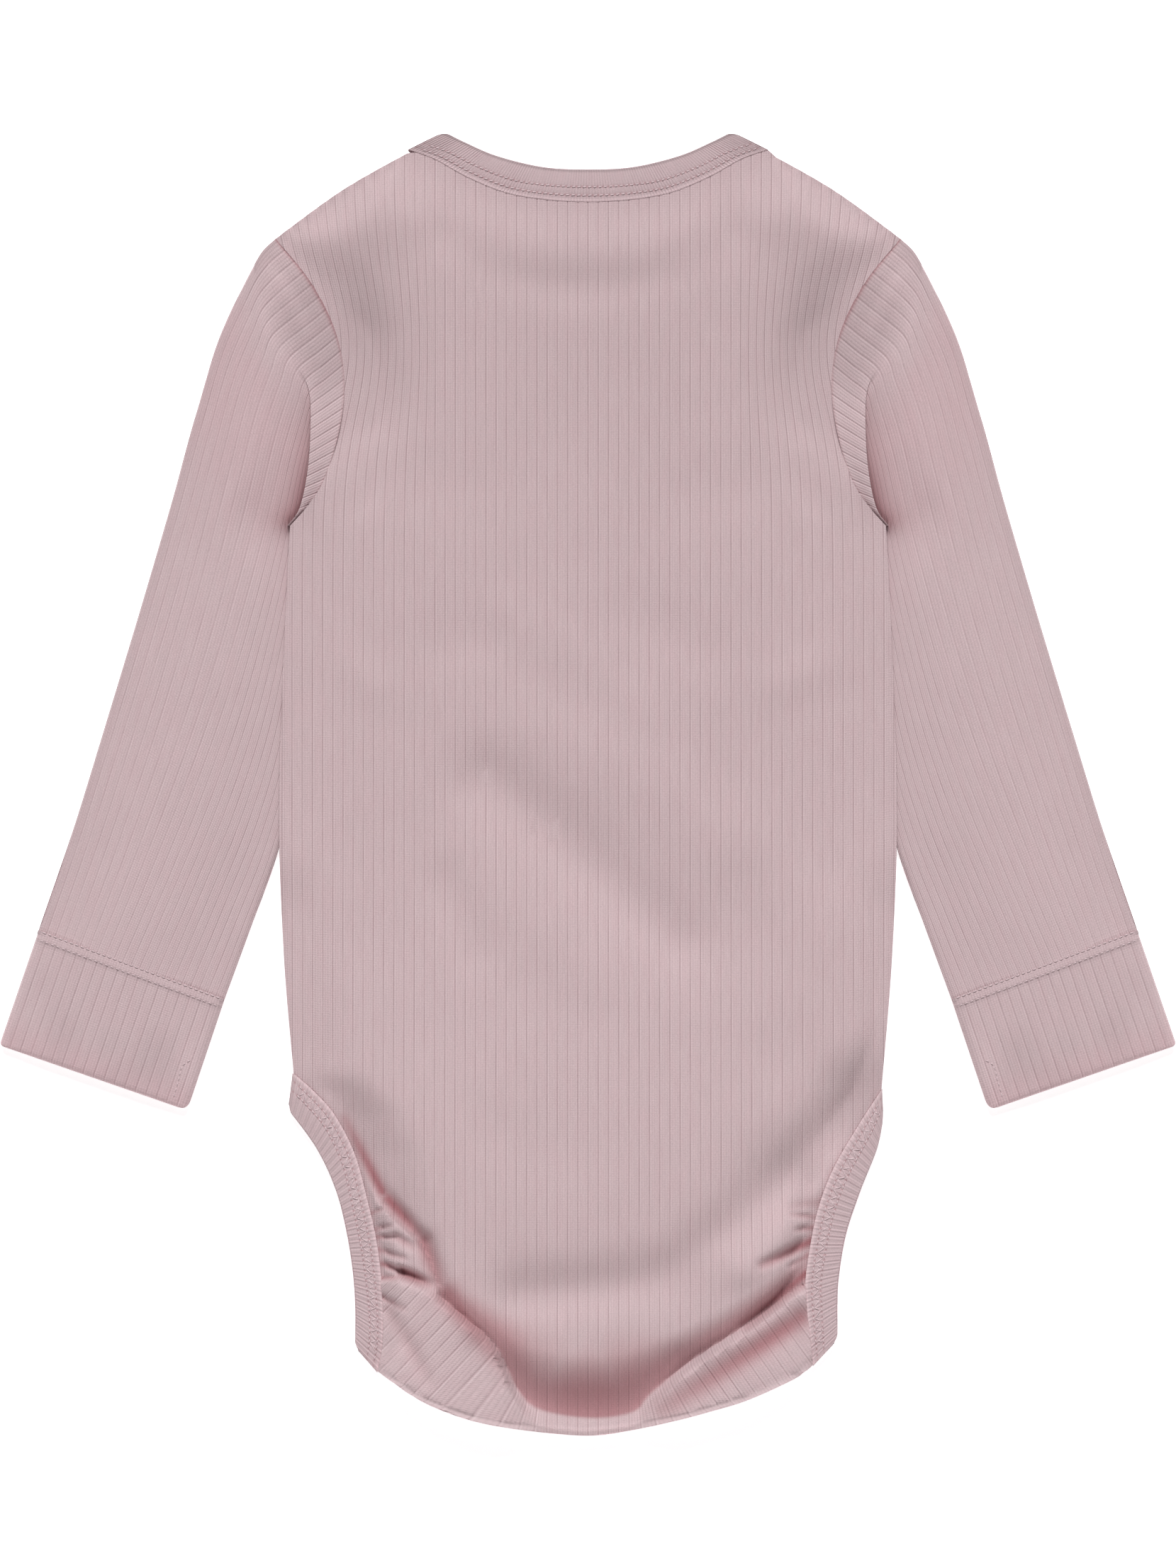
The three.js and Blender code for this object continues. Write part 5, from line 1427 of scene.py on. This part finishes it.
neck_spans = rows_of_stitches(neck_face, NECK_STITCH_ROWS, neck_length)
neck_threads = finish_piece(thread_piece("neck_stitches", neck_spans), thread)


def cuff_row(below):
    """The line across a cuff at a distance below the top of its seam band."""
    share = (below - CUFF_SEAM_LAP) / math.dist(CUFF_TOP[0], CUFF_CORNERS[0])
    return [lerp(np.array(top), np.array(corner), share) for top, corner in zip(CUFF_TOP, CUFF_CORNERS)]


cuff_spans = stitches_along(CUFF_SIDE_STITCHES, lambda x, y: cuff_level(x, y, 99.0))
for below in (0.1, CUFF_SEAM_BAND + 0.5):
    outer, inner = cuff_row(below)
    line = [lerp(outer, inner, 0.02), lerp(outer, inner, 0.98)]
    cuff_spans += stitches_along(line, lambda x, y: cuff_level(x, y, below + 0.4))
left_cuff_threads = thread_piece("cuff_stitches_left", cuff_spans)
right_cuff_threads = mirror_of(left_cuff_threads, "cuff_stitches_right")
for piece in (left_cuff_threads, right_cuff_threads):
    finish_piece(piece, thread)

for n, (x, y) in enumerate(stud_places(), 1):
    finish_piece(press_stud(f"stud_{n}", x, y), resin, f"press_stud_{n}")

# The studio: a pale floor, soft light from above the neck, and a camera straight above
floor_mesh = bpy.data.meshes.new("floor")
corners = [(x * FLOOR_HALF, y * FLOOR_HALF, FLOOR_Z) for x, y in ((-1, -1), (1, -1), (1, 1), (-1, 1))]
floor_mesh.from_pydata(corners, [], [(0, 1, 2, 3)])
floor = placed("floor", floor_mesh)
paper, _, _ = new_material("paper", PAPER)
floor_mesh.materials.append(paper)

for name, place, size, power in LIGHTS:
    lamp = bpy.data.lights.new(name, "AREA")
    lamp.shape = "DISK"
    lamp.size = size
    lamp.energy = power
    light = placed(name, lamp)
    light.location = place
    light.rotation_euler = (math.atan2(math.hypot(place[0], place[1]), place[2]), 0,
                            math.atan2(place[0], -place[1]))

world = bpy.data.worlds.new("studio")
world.use_nodes = True
for socket, value in WORLD_LIGHT.items():
    world.node_tree.nodes["Background"].inputs[socket].default_value = value
bpy.context.scene.world = world

camera_data = bpy.data.cameras.new("camera")
camera_data.sensor_width = SENSOR
camera_data.lens = SENSOR * CAMERA_HEIGHT / FRAME_HEIGHT
camera = placed("camera", camera_data)
camera.location = (0, FRAME_MIDDLE_Y, CAMERA_HEIGHT)
bpy.context.scene.camera = camera
bpy.context.scene.view_settings.view_transform = "Standard"

bpy.context.view_layer.update()
